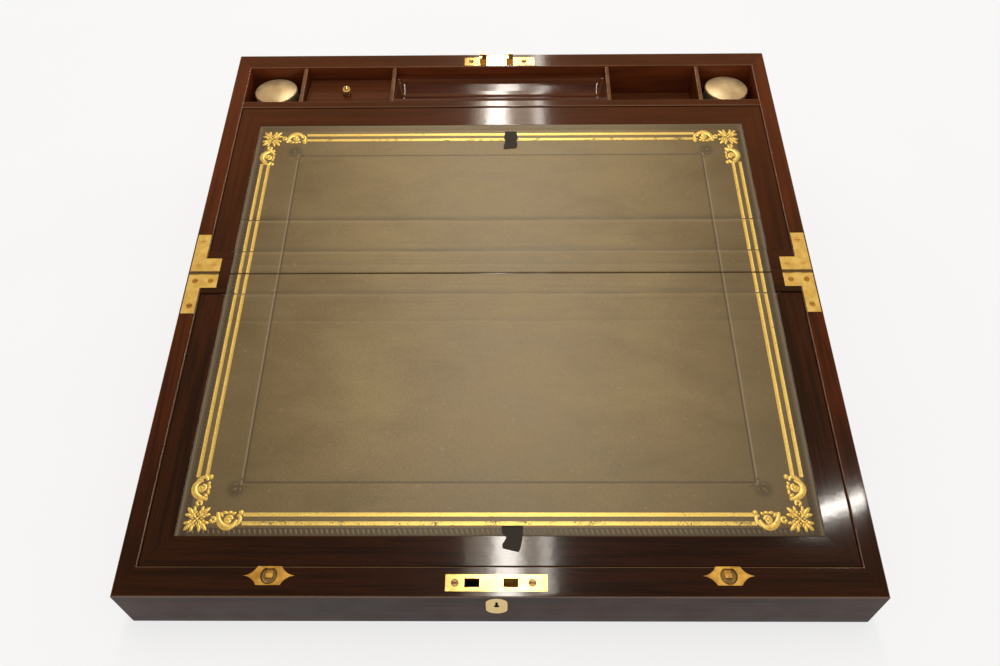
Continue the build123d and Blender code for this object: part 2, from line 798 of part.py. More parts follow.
def catch_outline(side):
    """A catch's brass plate: flat against the inner edge, pointed and hollowed at both ends."""
    middle = -catch_width / 2
    corner = catch_flat / 2
    tip = catch_length / 2
    bow_x = (corner + tip) / 2 - catch_hollow
    bow_y = middle / 2 - catch_hollow
    with BuildSketch(spot(side * catch_x, catch_edge)) as outline:
        with BuildLine():
            Line((-corner, 0), (corner, 0))
            ThreePointArc((corner, 0), (bow_x, bow_y), (tip, middle))
            ThreePointArc((tip, middle), (bow_x, -catch_width - bow_y), (corner, -catch_width))
            Line((corner, -catch_width), (-corner, -catch_width))
            ThreePointArc((-corner, -catch_width), (-bow_x, -catch_width - bow_y), (-tip, middle))
            ThreePointArc((-tip, middle), (-bow_x, bow_y), (-corner, 0))
        make_face()
    return outline.sketch


with BuildPart() as lid_lock_wall:
    near_plan = wall_plan(
        (-inner_half, -lock_inner),
        (inner_half, -lock_inner),
        (half_width, -half_depth),
        (-half_width, -half_depth),
    )
    extrude(near_plan, amount=carcass_top)
    split(bisect_by=rim, keep=Keep.BOTTOM)
    split(bisect_by=Plane.XY.offset(lid_panel_thick), keep=Keep.TOP)
    rim_face = lid_lock_wall.faces().filter_by(rim)[0]
    fillet(rim_face.edges().sort_by(Axis.Y)[-1], rim_round)
    extrude(plate_outline(-lock_run), amount=-plate_thick, mode=Mode.SUBTRACT)
    with BuildSketch(spot(lock_x, -lock_run)):
        Rectangle(case_length, case_width)
    extrude(amount=-plate_thick - case_depth, mode=Mode.SUBTRACT)
    with Locations(*[spot(x, run) for x, run in plate_screws(-lock_run)]):
        Cylinder(
            screw_radius + screw_fit, screw_length + screw_fit, align=TOP_ALIGN, mode=Mode.SUBTRACT
        )
    extrude(keyhole_outline(), amount=-lock_wall / 2, mode=Mode.SUBTRACT)
    extrude(escutcheon_outline(), amount=-escutcheon_thick, mode=Mode.SUBTRACT)
    for side, word in SIDES:
        extrude(catch_outline(side), amount=-catch_thick, mode=Mode.SUBTRACT)
        with Locations(spot(side * catch_x, catch_edge)):
            Box(
                catch_bolt_width + 2 * catch_bolt_gap,
                2 * (catch_bolt_reach + catch_bolt_gap),
                catch_bolt_top + catch_bolt_thick + catch_bolt_gap,
                align=TOP_ALIGN,
                mode=Mode.SUBTRACT,
            )
lid_lock_wall.part.label = "lid_lock_wall"
export_step(lid_lock_wall.part, "parts/lid_lock_wall.step")

# ---------------------------------------------------------------------------------------------
# Lower flap, hinged by its leather on the lid's rail
# ---------------------------------------------------------------------------------------------
lower_flap_start = -lid_band - fold_gap
lower_flap_root = upright(lower_flap_start * cos(tilt))
lower_flap_run = -along(lower_flap_end)
mortise_reach = flap_gap + catch_travel

with BuildPart() as lower_flap_board:
    with BuildSketch(rim.offset(-board_depth)):
        with Locations((0, lower_flap_run)):
            Rectangle(2 * flap_half, -lower_flap_run, align=(Align.CENTER, Align.MIN))
    extrude(amount=-flap_board)
    split(bisect_by=lower_flap_root, keep=Keep.BOTTOM)
    with Locations(*[spot(side * catch_x, lower_flap_run, board_depth) for side, word in SIDES]):
        Box(
            catch_bolt_width + 2 * catch_bolt_gap,
            2 * mortise_reach,
            catch_bolt_top + catch_bolt_thick + catch_bolt_gap - board_depth,
            align=TOP_ALIGN,
            mode=Mode.SUBTRACT,
        )
lower_flap_board.part.label = "lower_flap_board"
export_step(lower_flap_board.part, "parts/lower_flap_board.step")

with BuildPart() as lower_flap_border:
    with BuildSketch(rim.offset(-board_depth)):
        with Locations((0, lower_flap_run)):
            Rectangle(2 * flap_half, -lower_flap_run, align=(Align.CENTER, Align.MIN))
        with Locations((0, -leather_near)):
            Rectangle(
                2 * leather_half,
                leather_near,
                align=(Align.CENTER, Align.MIN),
                mode=Mode.SUBTRACT,
            )
    extrude(amount=skin)
    split(bisect_by=lower_flap_root, keep=Keep.BOTTOM)
lower_flap_border.part.label = "lower_flap_border"
export_step(lower_flap_border.part, "parts/lower_flap_border.step")

with BuildPart() as lower_flap_leather:
    with BuildSketch(rim.offset(-board_depth)):
        with Locations((0, lower_flap_start)):
            Rectangle(
                2 * leather_half,
                leather_near + lower_flap_start,
                align=(Align.CENTER, Align.MAX),
            )
    extrude(amount=skin)
lower_flap_leather.part.label = "lower_flap_leather"
export_step(lower_flap_leather.part, "parts/lower_flap_leather.step")

with BuildPart() as lower_flap_tab:
    with BuildSketch(rim.offset(-flap_drop)):
        with Locations((tab_x, -leather_near + lower_tab_inset)):
            Rectangle(lower_tab_width, lower_tab_length, align=(Align.CENTER, Align.MAX))
    extrude(amount=tab_thick)
lower_flap_tab.part.label = "lower_flap_tab"
export_step(lower_flap_tab.part, "parts/lower_flap_tab.step")

# ---------------------------------------------------------------------------------------------
# Catches of the lower flap: a flush plate and a bolt with a thumb nub
# ---------------------------------------------------------------------------------------------
for side, word in SIDES:
    nub_high = catch_edge - catch_nub_run + catch_travel / 2
    with BuildPart() as catch_plate:
        extrude(catch_outline(side), amount=-catch_thick)
        with Locations(spot(side * catch_x, catch_edge - catch_width / 2)):
            Cylinder(catch_dish_radius, catch_dish, align=TOP_ALIGN, mode=Mode.SUBTRACT)
        with Locations(spot(side * catch_x, nub_high)):
            Box(
                catch_nub_x + 2 * catch_bolt_gap,
                catch_nub_y + catch_travel + 2 * catch_bolt_gap,
                2 * catch_thick,
                mode=Mode.SUBTRACT,
            )
    catch_plate.part.label = f"catch_plate_{word}"
    export_step(catch_plate.part, f"parts/catch_plate_{word}.step")

    with BuildPart() as catch_bolt:
        with Locations(spot(side * catch_x, catch_edge - catch_bolt_setback, catch_bolt_top)):
            Box(
                catch_bolt_width,
                catch_bolt_length,
                catch_bolt_thick,
                align=(Align.CENTER, Align.MAX, Align.MAX),
            )
        with Locations(spot(side * catch_x, catch_edge - catch_nub_run, catch_bolt_top)):
            Box(catch_nub_x, catch_nub_y, catch_bolt_top - catch_nub_drop, align=LOW_ALIGN)
    catch_bolt.part.label = f"catch_bolt_{word}"
    export_step(catch_bolt.part, f"parts/catch_bolt_{word}.step")

# ---------------------------------------------------------------------------------------------
# Lock: flush plate, case, sliding bolt and escutcheon
# ---------------------------------------------------------------------------------------------
bolt_top = notch_start - rim_gap + (notch_height - bolt_thick) / 2
ledge_depth = bolt_top + bolt_thick + bolt_rest_gap
case_foot = plate_thick + case_depth

with BuildPart() as lock_plate:
    extrude(plate_outline(-lock_run), amount=-plate_thick)
    with Locations(*[spot(x + slot_shift, -lock_run) for x in hook_x]):
        Box(slot_length, slot_width, 2 * plate_thick, mode=Mode.SUBTRACT)
    with Locations(*[spot(x, run) for x, run in plate_screws(-lock_run)]):
        CounterSinkHole(
            screw_radius + screw_fit,
            screw_head_radius + screw_fit,
            counter_sink_angle=90,
        )
lock_plate.part.label = "lock_plate"
export_step(lock_plate.part, "parts/lock_plate.step")

with BuildPart() as lock_case:
    with Locations(spot(lock_x, -lock_run, plate_thick)):
        Box(case_length, case_width, case_depth, align=TOP_ALIGN)
    with Locations(spot(lock_x, -lock_run)):
        Box(
            case_length - 2 * case_end,
            case_width - 2 * case_skin,
            ledge_depth,
            align=TOP_ALIGN,
            mode=Mode.SUBTRACT,
        )
        Box(
            case_length - 2 * case_end,
            case_width - 2 * (case_skin + case_ledge),
            case_foot - case_floor,
            align=TOP_ALIGN,
            mode=Mode.SUBTRACT,
        )
    extrude(keyhole_outline(), amount=-lock_wall / 2, mode=Mode.SUBTRACT)
lock_case.part.label = "lock_case"
export_step(lock_case.part, "parts/lock_case.step")

# The bolt has a window for each hook; sliding it right puts each window's end into a notch
window_length = hook_width + bolt_approach + bolt_relief
window_shift = (bolt_relief - bolt_approach) / 2
bolt_x = lock_x - bolt_travel / 2
with BuildPart() as lock_bolt:
    with Locations(spot(bolt_x, -lock_run, bolt_top)):
        Box(
            bolt_length,
            case_width - 2 * (case_skin + bolt_side_gap),
            bolt_thick,
            align=TOP_ALIGN,
        )
    with Locations(*[spot(x + window_shift, -lock_run, bolt_top) for x in hook_x]):
        Box(window_length, hook_thick + 2 * bolt_relief, 2 * bolt_thick, mode=Mode.SUBTRACT)
lock_bolt.part.label = "lock_bolt"
export_step(lock_bolt.part, "parts/lock_bolt.step")

with BuildPart() as keyhole_escutcheon:
    extrude(escutcheon_outline(), amount=-escutcheon_thick)
    extrude(keyhole_outline(), amount=-escutcheon_thick, mode=Mode.SUBTRACT)
keyhole_escutcheon.part.label = "keyhole_escutcheon"
export_step(keyhole_escutcheon.part, "parts/keyhole_escutcheon.step")

with BuildPart() as lock_screws:
    add(screw_group(plate_screws(-lock_run)))
lock_screws.part.label = "lock_screws"
export_step(lock_screws.part, "parts/lock_screws.step")

# Link plate in the base's far rim, with the two hooks that drop into the lock
with BuildPart() as link_plate:
    extrude(plate_outline(lock_run), amount=-plate_thick)
    for x in hook_x:
        left = x - hook_width / 2
        right = x + hook_width / 2
        foot = rim.from_local_coords((0, lock_run, 0))
        with BuildSketch(Plane(origin=foot, x_dir=(1, 0, 0), z_dir=-rim.y_dir)) as hook_side:
            with BuildLine():
                Polyline(
                    (left, -plate_thick),
                    (right, -plate_thick),
                    (right, hook_height),
                    (left, hook_height),
                    (left, notch_start + notch_height),
                    (left + notch_depth, notch_start + notch_height),
                    (left + notch_depth, notch_start),
                    (left, notch_start),
                    close=True,
                )
            make_face()
        extrude(hook_side.sketch, amount=hook_thick / 2, both=True)
    with Locations(*[spot(x, run) for x, run in plate_screws(lock_run)]):
        CounterSinkHole(
            screw_radius + screw_fit,
            screw_head_radius + screw_fit,
            counter_sink_angle=90,
        )
link_plate.part.label = "link_plate"
export_step(link_plate.part, "parts/link_plate.step")

with BuildPart() as link_screws:
    add(screw_group(plate_screws(lock_run)))
link_screws.part.label = "link_screws"
export_step(link_screws.part, "parts/link_screws.step")

# ---------------------------------------------------------------------------------------------
# Hinges: two L-shaped leaves a side, knuckles between them and a pin
# ---------------------------------------------------------------------------------------------
leaf_edge = barrel_radius + barrel_gap      # how far a leaf stands off the other leaf's knuckles
barrel_length = leaf_reach - leaf_margin
knuckle_share = 1 / 3
gap_share = knuckle_gap / barrel_length / 2
LEAVES = (
    ("base", 1, ((0.0, knuckle_share - gap_share), (1 - knuckle_share + gap_share, 1.0))),
    ("lid", -1, ((knuckle_share + gap_share, 1 - knuckle_share - gap_share),)),
)
for side, word in SIDES:
    for half_name, end, knuckles in LEAVES:
        inner_x = side * (half_width - leaf_reach)
        with BuildPart() as leaf:
            extrude(leaf_outline(side, end), amount=-leaf_thick)
            with Locations(spot(inner_x + side * barrel_length / 2, 0)):
                Box(2 * barrel_length, 2 * leaf_edge, 3 * leaf_thick, mode=Mode.SUBTRACT)
            for start, stop in knuckles:
                add(hinge_rod(side, barrel_radius, start, stop))
                web_x = inner_x + side * (start + stop) / 2 * barrel_length
                with Locations(spot(web_x, 0)):
                    Box(
                        (stop - start) * barrel_length,
                        leaf_edge,
                        leaf_thick,
                        align=(Align.CENTER, Align.MIN if end > 0 else Align.MAX, Align.MAX),
                    )
            bore = hinge_pin_radius if end > 0 else hinge_pin_radius + pin_run
            add(hinge_rod(side, bore, -0.1, 1.1), mode=Mode.SUBTRACT)
            with Locations(*[spot(x, run) for x, run in leaf_screws(side, end)]):
                CounterSinkHole(
                    screw_radius + screw_fit,
                    screw_head_radius + screw_fit,
                    counter_sink_angle=90,
                )
        leaf.part.label = f"hinge_leaf_{half_name}_{word}"
        export_step(leaf.part, f"parts/hinge_leaf_{half_name}_{word}.step")

with BuildPart() as hinge_pins:
    for side, word in SIDES:
        add(hinge_rod(side, hinge_pin_radius))
hinge_pins.part.label = "hinge_pins"
export_step(hinge_pins.part, "parts/hinge_pins.step")

with BuildPart() as base_hinge_screws:
    for side, word in SIDES:
        add(screw_group(leaf_screws(side, 1)))
base_hinge_screws.part.label = "base_hinge_screws"
export_step(base_hinge_screws.part, "parts/base_hinge_screws.step")

with BuildPart() as lid_hinge_screws:
    for side, word in SIDES:
        add(screw_group(leaf_screws(side, -1)))
lid_hinge_screws.part.label = "lid_hinge_screws"
export_step(lid_hinge_screws.part, "parts/lid_hinge_screws.step")
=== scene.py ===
"""Writing slope, dressed: polished rosewood, tooled leather with gold, brass, silvered caps, glass."""

import logging
import math
from dataclasses import dataclass
from enum import Enum
from typing import Callable, Iterable, Sequence

import bmesh
import bpy
from mathutils import Matrix, Vector


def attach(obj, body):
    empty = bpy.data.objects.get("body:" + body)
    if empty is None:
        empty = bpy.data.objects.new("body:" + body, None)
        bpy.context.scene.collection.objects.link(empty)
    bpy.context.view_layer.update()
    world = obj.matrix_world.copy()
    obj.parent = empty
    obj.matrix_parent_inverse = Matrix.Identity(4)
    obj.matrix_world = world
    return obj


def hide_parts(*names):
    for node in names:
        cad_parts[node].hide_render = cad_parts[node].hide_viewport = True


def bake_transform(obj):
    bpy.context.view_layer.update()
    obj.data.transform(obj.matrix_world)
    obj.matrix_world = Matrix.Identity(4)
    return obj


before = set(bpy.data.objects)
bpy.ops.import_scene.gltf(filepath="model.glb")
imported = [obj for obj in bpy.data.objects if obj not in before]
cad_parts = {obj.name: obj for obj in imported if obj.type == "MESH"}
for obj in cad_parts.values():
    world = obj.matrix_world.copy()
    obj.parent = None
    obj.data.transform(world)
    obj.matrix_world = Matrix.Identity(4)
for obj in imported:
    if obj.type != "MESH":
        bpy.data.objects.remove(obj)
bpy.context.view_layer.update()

LOG = logging.getLogger("writing slope")
Colour = tuple[float, float, float, float]
Socket = bpy.types.NodeSocket
Height = Callable[[float, float], float]

MM = 0.001
TILT = math.radians(10.0)
HINGE_HEIGHT = 80.0
LEVEL = Matrix.Scale(MM, 4)
SLOPE = Matrix.Translation((0, 0, HINGE_HEIGHT)) @ Matrix.Rotation(TILT, 4, "X")
ON_SLOPE = LEVEL @ SLOPE

# How far the leather and its blind rectangle reach from the middle and from the hinge line
LEATHER_HALF = 199.5
LEATHER_FAR = 148.4
LEATHER_NEAR = 195.0
BLIND_HALF = 162.8
BLIND_FAR = 115.4
BLIND_NEAR = 161.0


def paint(red: int, green: int, blue: int) -> Colour:
    """Turns a colour as a screen shows it into the linear light that a shader takes.

    Args:
        red: From 0 to 255.
        green: From 0 to 255.
        blue: From 0 to 255.

    Returns:
        Linear red, green and blue, with full cover.
    """
    parts = [value / 255 for value in (red, green, blue)]
    lit = [p / 12.92 if p <= 0.04045 else ((p + 0.055) / 1.055) ** 2.4 for p in parts]
    return lit[0], lit[1], lit[2], 1.0


def on_slope(x: float, run: float, rise: float = 0.0) -> Vector:
    """A place on the slope, in metres of the whole frame."""
    return ON_SLOPE @ Vector((x, run, rise))


class Grain(Enum):
    """The way that the grain of a board runs, by the number of its axis."""

    ACROSS = 0
    ALONG = 1


# ---------------------------------------------------------------------------------------------
# Finishes
# ---------------------------------------------------------------------------------------------
class Bench:
    """Wires the nodes of one finish together."""

    def __init__(self, owner: bpy.types.Material | bpy.types.World) -> None:
        """Starts with no nodes.

        Args:
            owner: What the nodes belong to.
        """
        owner.use_nodes = True
        self.owner = owner
        self.tree = owner.node_tree
        self.tree.nodes.clear()

    def node(self, kind: str, **settings: object) -> bpy.types.Node:
        """Adds one node and sets its options."""
        made = self.tree.nodes.new("ShaderNode" + kind)
        for key, value in settings.items():
            setattr(made, key, value)
        return made

    def put(self, socket: Socket, value: object) -> None:
        """Feeds a socket, from another one or with a plain value."""
        if isinstance(value, bpy.types.NodeSocket):
            self.tree.links.new(value, socket)
        else:
            socket.default_value = value

    def pattern(self, size: Sequence[float], slope: bool = True) -> Socket:
        """Coordinates fixed to the object, in units of a pattern's own size.

        Args:
            size: How long, deep and high one unit of the pattern is, in millimetres.
            slope: Whether the pattern lies with the slope, or level with the table.

        Returns:
            The coordinates.
        """
        place = self.node("Mapping", vector_type="TEXTURE")
        self.put(place.inputs["Vector"], self.node("TexCoord").outputs["Object"])
        if slope:
            place.inputs["Location"].default_value = (0, 0, HINGE_HEIGHT * MM)
            place.inputs["Rotation"].default_value = (TILT, 0, 0)
        place.inputs["Scale"].default_value = [side * MM for side in size]
        return place.outputs["Vector"]

    def even(self, size: float, slope: bool = True) -> Socket:
        """Coordinates of a pattern that is as long as it is deep and high."""
        return self.pattern((size, size, size), slope)

    def part(self, vector: Socket, axis: int) -> Socket:
        """One of the three numbers of a vector."""
        split = self.node("SeparateXYZ")
        self.put(split.inputs[0], vector)
        return split.outputs[axis]

    def noise(self, vector: Socket, detail: float = 3.0, rough: float = 0.5, bend: float = 0.0) -> Socket:
        """Cloudy noise, one unit of the pattern to a cloud.

        Args:
            vector: The pattern's coordinates.
            detail: How many finer layers are laid over it.
            rough: How strong those are.
            bend: How far the clouds are pulled about.

        Returns:
            Its strength, from 0 to 1.
        """
        made = self.node("TexNoise")
        self.put(made.inputs["Vector"], vector)
        made.inputs["Scale"].default_value = 1.0
        made.inputs["Detail"].default_value = detail
        made.inputs["Roughness"].default_value = rough
        made.inputs["Distortion"].default_value = bend
        return made.outputs[0]

    def cells(self, vector: Socket, soft: float = 0.6) -> Socket:
        """Rounded cells, as the pebbles of a leather's grain."""
        made = self.node("TexVoronoi", feature="SMOOTH_F1")
        self.put(made.inputs["Vector"], vector)
        made.inputs["Scale"].default_value = 1.0
        made.inputs["Smoothness"].default_value = soft
        return made.outputs["Distance"]

    def sum(self, act: str, first: object, second: object = 0.0, clamp: bool = False) -> Socket:
        """One step of arithmetic.

        Args:
            act: The name of the step, such as ADD.
            first: A number or a socket.
            second: A number or a socket.
            clamp: Whether the answer is kept from 0 to 1.

        Returns:
            The answer.
        """
        made = self.node("Math", operation=act, use_clamp=clamp)
        self.put(made.inputs[0], first)
        self.put(made.inputs[1], second)
        return made.outputs[0]

    def times(self, first: object, second: object) -> Socket:
        """One value times another."""
        return self.sum("MULTIPLY", first, second)

    def plus(self, first: object, second: object) -> Socket:
        """One value added to another."""
        return self.sum("ADD", first, second)

    def less(self, first: object, second: object) -> Socket:
        """One value with another taken off."""
        return self.sum("SUBTRACT", first, second)

    def most(self, first: object, second: object) -> Socket:
        """The larger of two values."""
        return self.sum("MAXIMUM", first, second)

    def least(self, first: object, second: object) -> Socket:
        """The smaller of two values."""
        return self.sum("MINIMUM", first, second)

    def amount(self, value: object) -> Socket:
        """A value without its sign."""
        return self.sum("ABSOLUTE", value)

    def stretch(self, value: Socket, low: float, high: float, start: float = 0.0, end: float = 1.0) -> Socket:
        """Maps a range of one value on to another, smoothly and with its ends held.

        Args:
            value: What is mapped.
            low: Where the range starts.
            high: Where it ends.
            start: The answer at its start.
            end: The answer at its end.

        Returns:
            The mapped value.
        """
        made = self.node("MapRange", interpolation_type="SMOOTHSTEP")
        for socket, given in zip(made.inputs, (value, low, high, start, end)):
            self.put(socket, given)
        return made.outputs[0]

    def ramp(self, value: Socket, *stops: tuple[float, Colour]) -> Socket:
        """A colour for each strength of a pattern."""
        made = self.node("ValToRGB")
        band = made.color_ramp
        while len(band.elements) < len(stops):
            band.elements.new(1.0)
        for element, (place, colour) in zip(band.elements, stops):
            element.position = place
            element.color = colour
        self.put(made.inputs[0], value)
        return made.outputs["Color"]

    def blend(self, share: object, first: object, second: object) -> Socket:
        """Mixes two colours.

        Args:
            share: How much of the second one there is.
            first: A colour or a socket.
            second: A colour or a socket.

        Returns:
            The mixed colour.
        """
        made = self.node("Mix", data_type="RGBA", blend_type="MIX")
        self.put(made.inputs[0], share)
        self.put(made.inputs[6], first)
        self.put(made.inputs[7], second)
        return made.outputs[2]

    def stain(self, colour: Socket, mark: object, strength: object, tint: object) -> Socket:
        """Lays a tint over a colour where a pattern marks it.

        Args:
            colour: What is stained.
            mark: The pattern, from 0 to 1.
            strength: How much of the tint its full strength leaves.
            tint: A colour or a socket.

        Returns:
            The stained colour.
        """
        return self.blend(self.times(mark, strength), colour, tint)

    def line(self, value: Socket, at: float, reach: float) -> Socket:
        """How close a value is to one place: 1 there, and 0 from a reach away."""
        return self.stretch(self.amount(self.less(value, at)), 0.0, reach, 1.0, 0.0)

    def bump(self, height: Socket, depth: float, under: Socket | None = None) -> Socket:
        """Turns a pattern into relief.

        Args:
            height: The pattern.
            depth: The height of its full strength, in millimetres.
            under: Relief that this one lies on.

        Returns:
            The direction that the surface faces.
        """
        made = self.node("Bump")
        made.inputs["Strength"].default_value = 1.0
        made.inputs["Distance"].default_value = depth * MM
        self.put(made.inputs["Height"], height)
        if under is not None:
            self.put(made.inputs["Normal"], under)
        return made.outputs[0]

    def close(self, **values: object) -> bpy.types.Material:
        """Ends the finish with one principled shader.

        Args:
            values: Its sockets, with underscores for spaces.

        Returns:
            The material.
        """
        shader = self.node("BsdfPrincipled")
        for key, value in values.items():
            self.put(shader.inputs[key.replace("_", " ")], value)
        self.put(self.node("OutputMaterial").inputs["Surface"], shader.outputs[0])
        return self.owner


@dataclass(frozen=True)
class Finish:
    """What a surface is made of. It is mixed once and then shared."""

    name: str
    slot: str

    def material(self) -> bpy.types.Material:
        """The finish as a material."""
        return bpy.data.materials.get(self.name) or self.mix(Bench(bpy.data.materials.new(self.name)))

    def mix(self, bench: Bench) -> bpy.types.Material:
        """Mixes the finish, which each kind does in its own way."""
        raise NotImplementedError


@dataclass(frozen=True)
class PolishedWood(Finish):
    """Dark rosewood, French polished: long streaks, fine pores and a hard clear film."""

    grain: Grain = Grain.ACROSS
    dark: Colour = paint(31, 16, 8)
    heart: Colour = paint(42, 21, 10)
    streak: Colour = paint(60, 28, 13)
    slope: bool = True
    coat: float = 1.0
    # age and its colour are painted shade towards the near end; lit is painted light towards the far end
    age: float = 0.28
    near_shade_colour: Colour = paint(22, 13, 8)
    lit: Colour = paint(136, 52, 15)

    def mix(self, bench: Bench) -> bpy.types.Material:
        """Lays streaks, figure and pores over each other, under the polish."""
        def size(length: float, width: float) -> list[float]:
            """A pattern that is long with the grain and narrow across it."""
            sides = [width] * 3
            sides[self.grain.value] = length
            return sides

        figure = bench.noise(bench.pattern(size(190, 21), self.slope), detail=3, bend=0.7)
        streaks = bench.noise(bench.pattern(size(120, 3.6), self.slope), detail=6, rough=0.62, bend=0.3)
        lines = bench.noise(bench.pattern(size(42, 0.75), self.slope), detail=2)
        pores = bench.noise(bench.pattern(size(5.5, 0.30), self.slope), detail=1)
        body = bench.plus(bench.times(figure, 0.48), bench.times(streaks, 0.52))
        body = bench.plus(body, bench.times(bench.less(lines, 0.5), 0.14))
        colour = bench.ramp(
            body,
            (0.34, self.dark),
            (0.46, self.heart),
            (0.54, self.streak),
            (0.60, self.heart),
            (0.70, self.dark),
        )
        pore = bench.stretch(pores, 0.60, 0.72)
        colour = bench.stain(colour, pore, 0.55, self.dark)
        # Painted shade darkens the wood towards the near end, and painted light (lit) lightens and reddens it
        # towards the far end.
        run = bench.part(bench.even(1), 1)
        colour = bench.blend(bench.stretch(run, -210, -60, self.age, 0.0), colour, self.near_shade_colour)
        colour = bench.blend(bench.stretch(run, -60, 150, 0.0, 0.13), colour, self.lit)
        wear = bench.noise(bench.even(26, self.slope), detail=4, rough=0.6)
        film = bench.noise(bench.even(5, self.slope), detail=1)
        relief = bench.bump(film, 0.012)
        relief = bench.bump(bench.less(1.0, pore), 0.004, relief)
        return bench.close(
            Base_Color=colour,
            Roughness=bench.stretch(wear, 0.3, 0.7, 0.28, 0.40),
            Normal=relief,
            Specular_IOR_Level=0.04,
            Coat_Weight=self.coat,
            Coat_Roughness=0.075,
            Coat_IOR=1.5,
            Coat_Normal=bench.bump(film, 0.010),
        )


@dataclass(frozen=True)
class PlainWood(Finish):
    """The plain hardwood that shows only inside the box, rubbed with wax."""

    grain: Grain = Grain.ACROSS
    light: Colour = paint(132, 84, 48)
    dark: Colour = paint(88, 50, 28)

    def mix(self, bench: Bench) -> bpy.types.Material:
        """Lays straight grain and short pores over each other."""
        wide, fine = [14.0] * 3, [0.5] * 3
        wide[self.grain.value], fine[self.grain.value] = 240.0, 9.0
        grain = bench.noise(bench.pattern(wide, False), detail=6, rough=0.6, bend=0.5)
        pores = bench.stretch(bench.noise(bench.pattern(fine, False), detail=1), 0.58, 0.72)
        colour = bench.ramp(grain, (0.34, self.dark), (0.52, self.light), (0.64, paint(112, 68, 38)))
        colour = bench.stain(colour, pores, 0.5, paint(52, 28, 16))
        relief = bench.bump(bench.less(1.0, pores), 0.03)
        return bench.close(
            Base_Color=colour,
            Roughness=bench.stretch(grain, 0.3, 0.7, 0.44, 0.6),
            Normal=relief,
        )


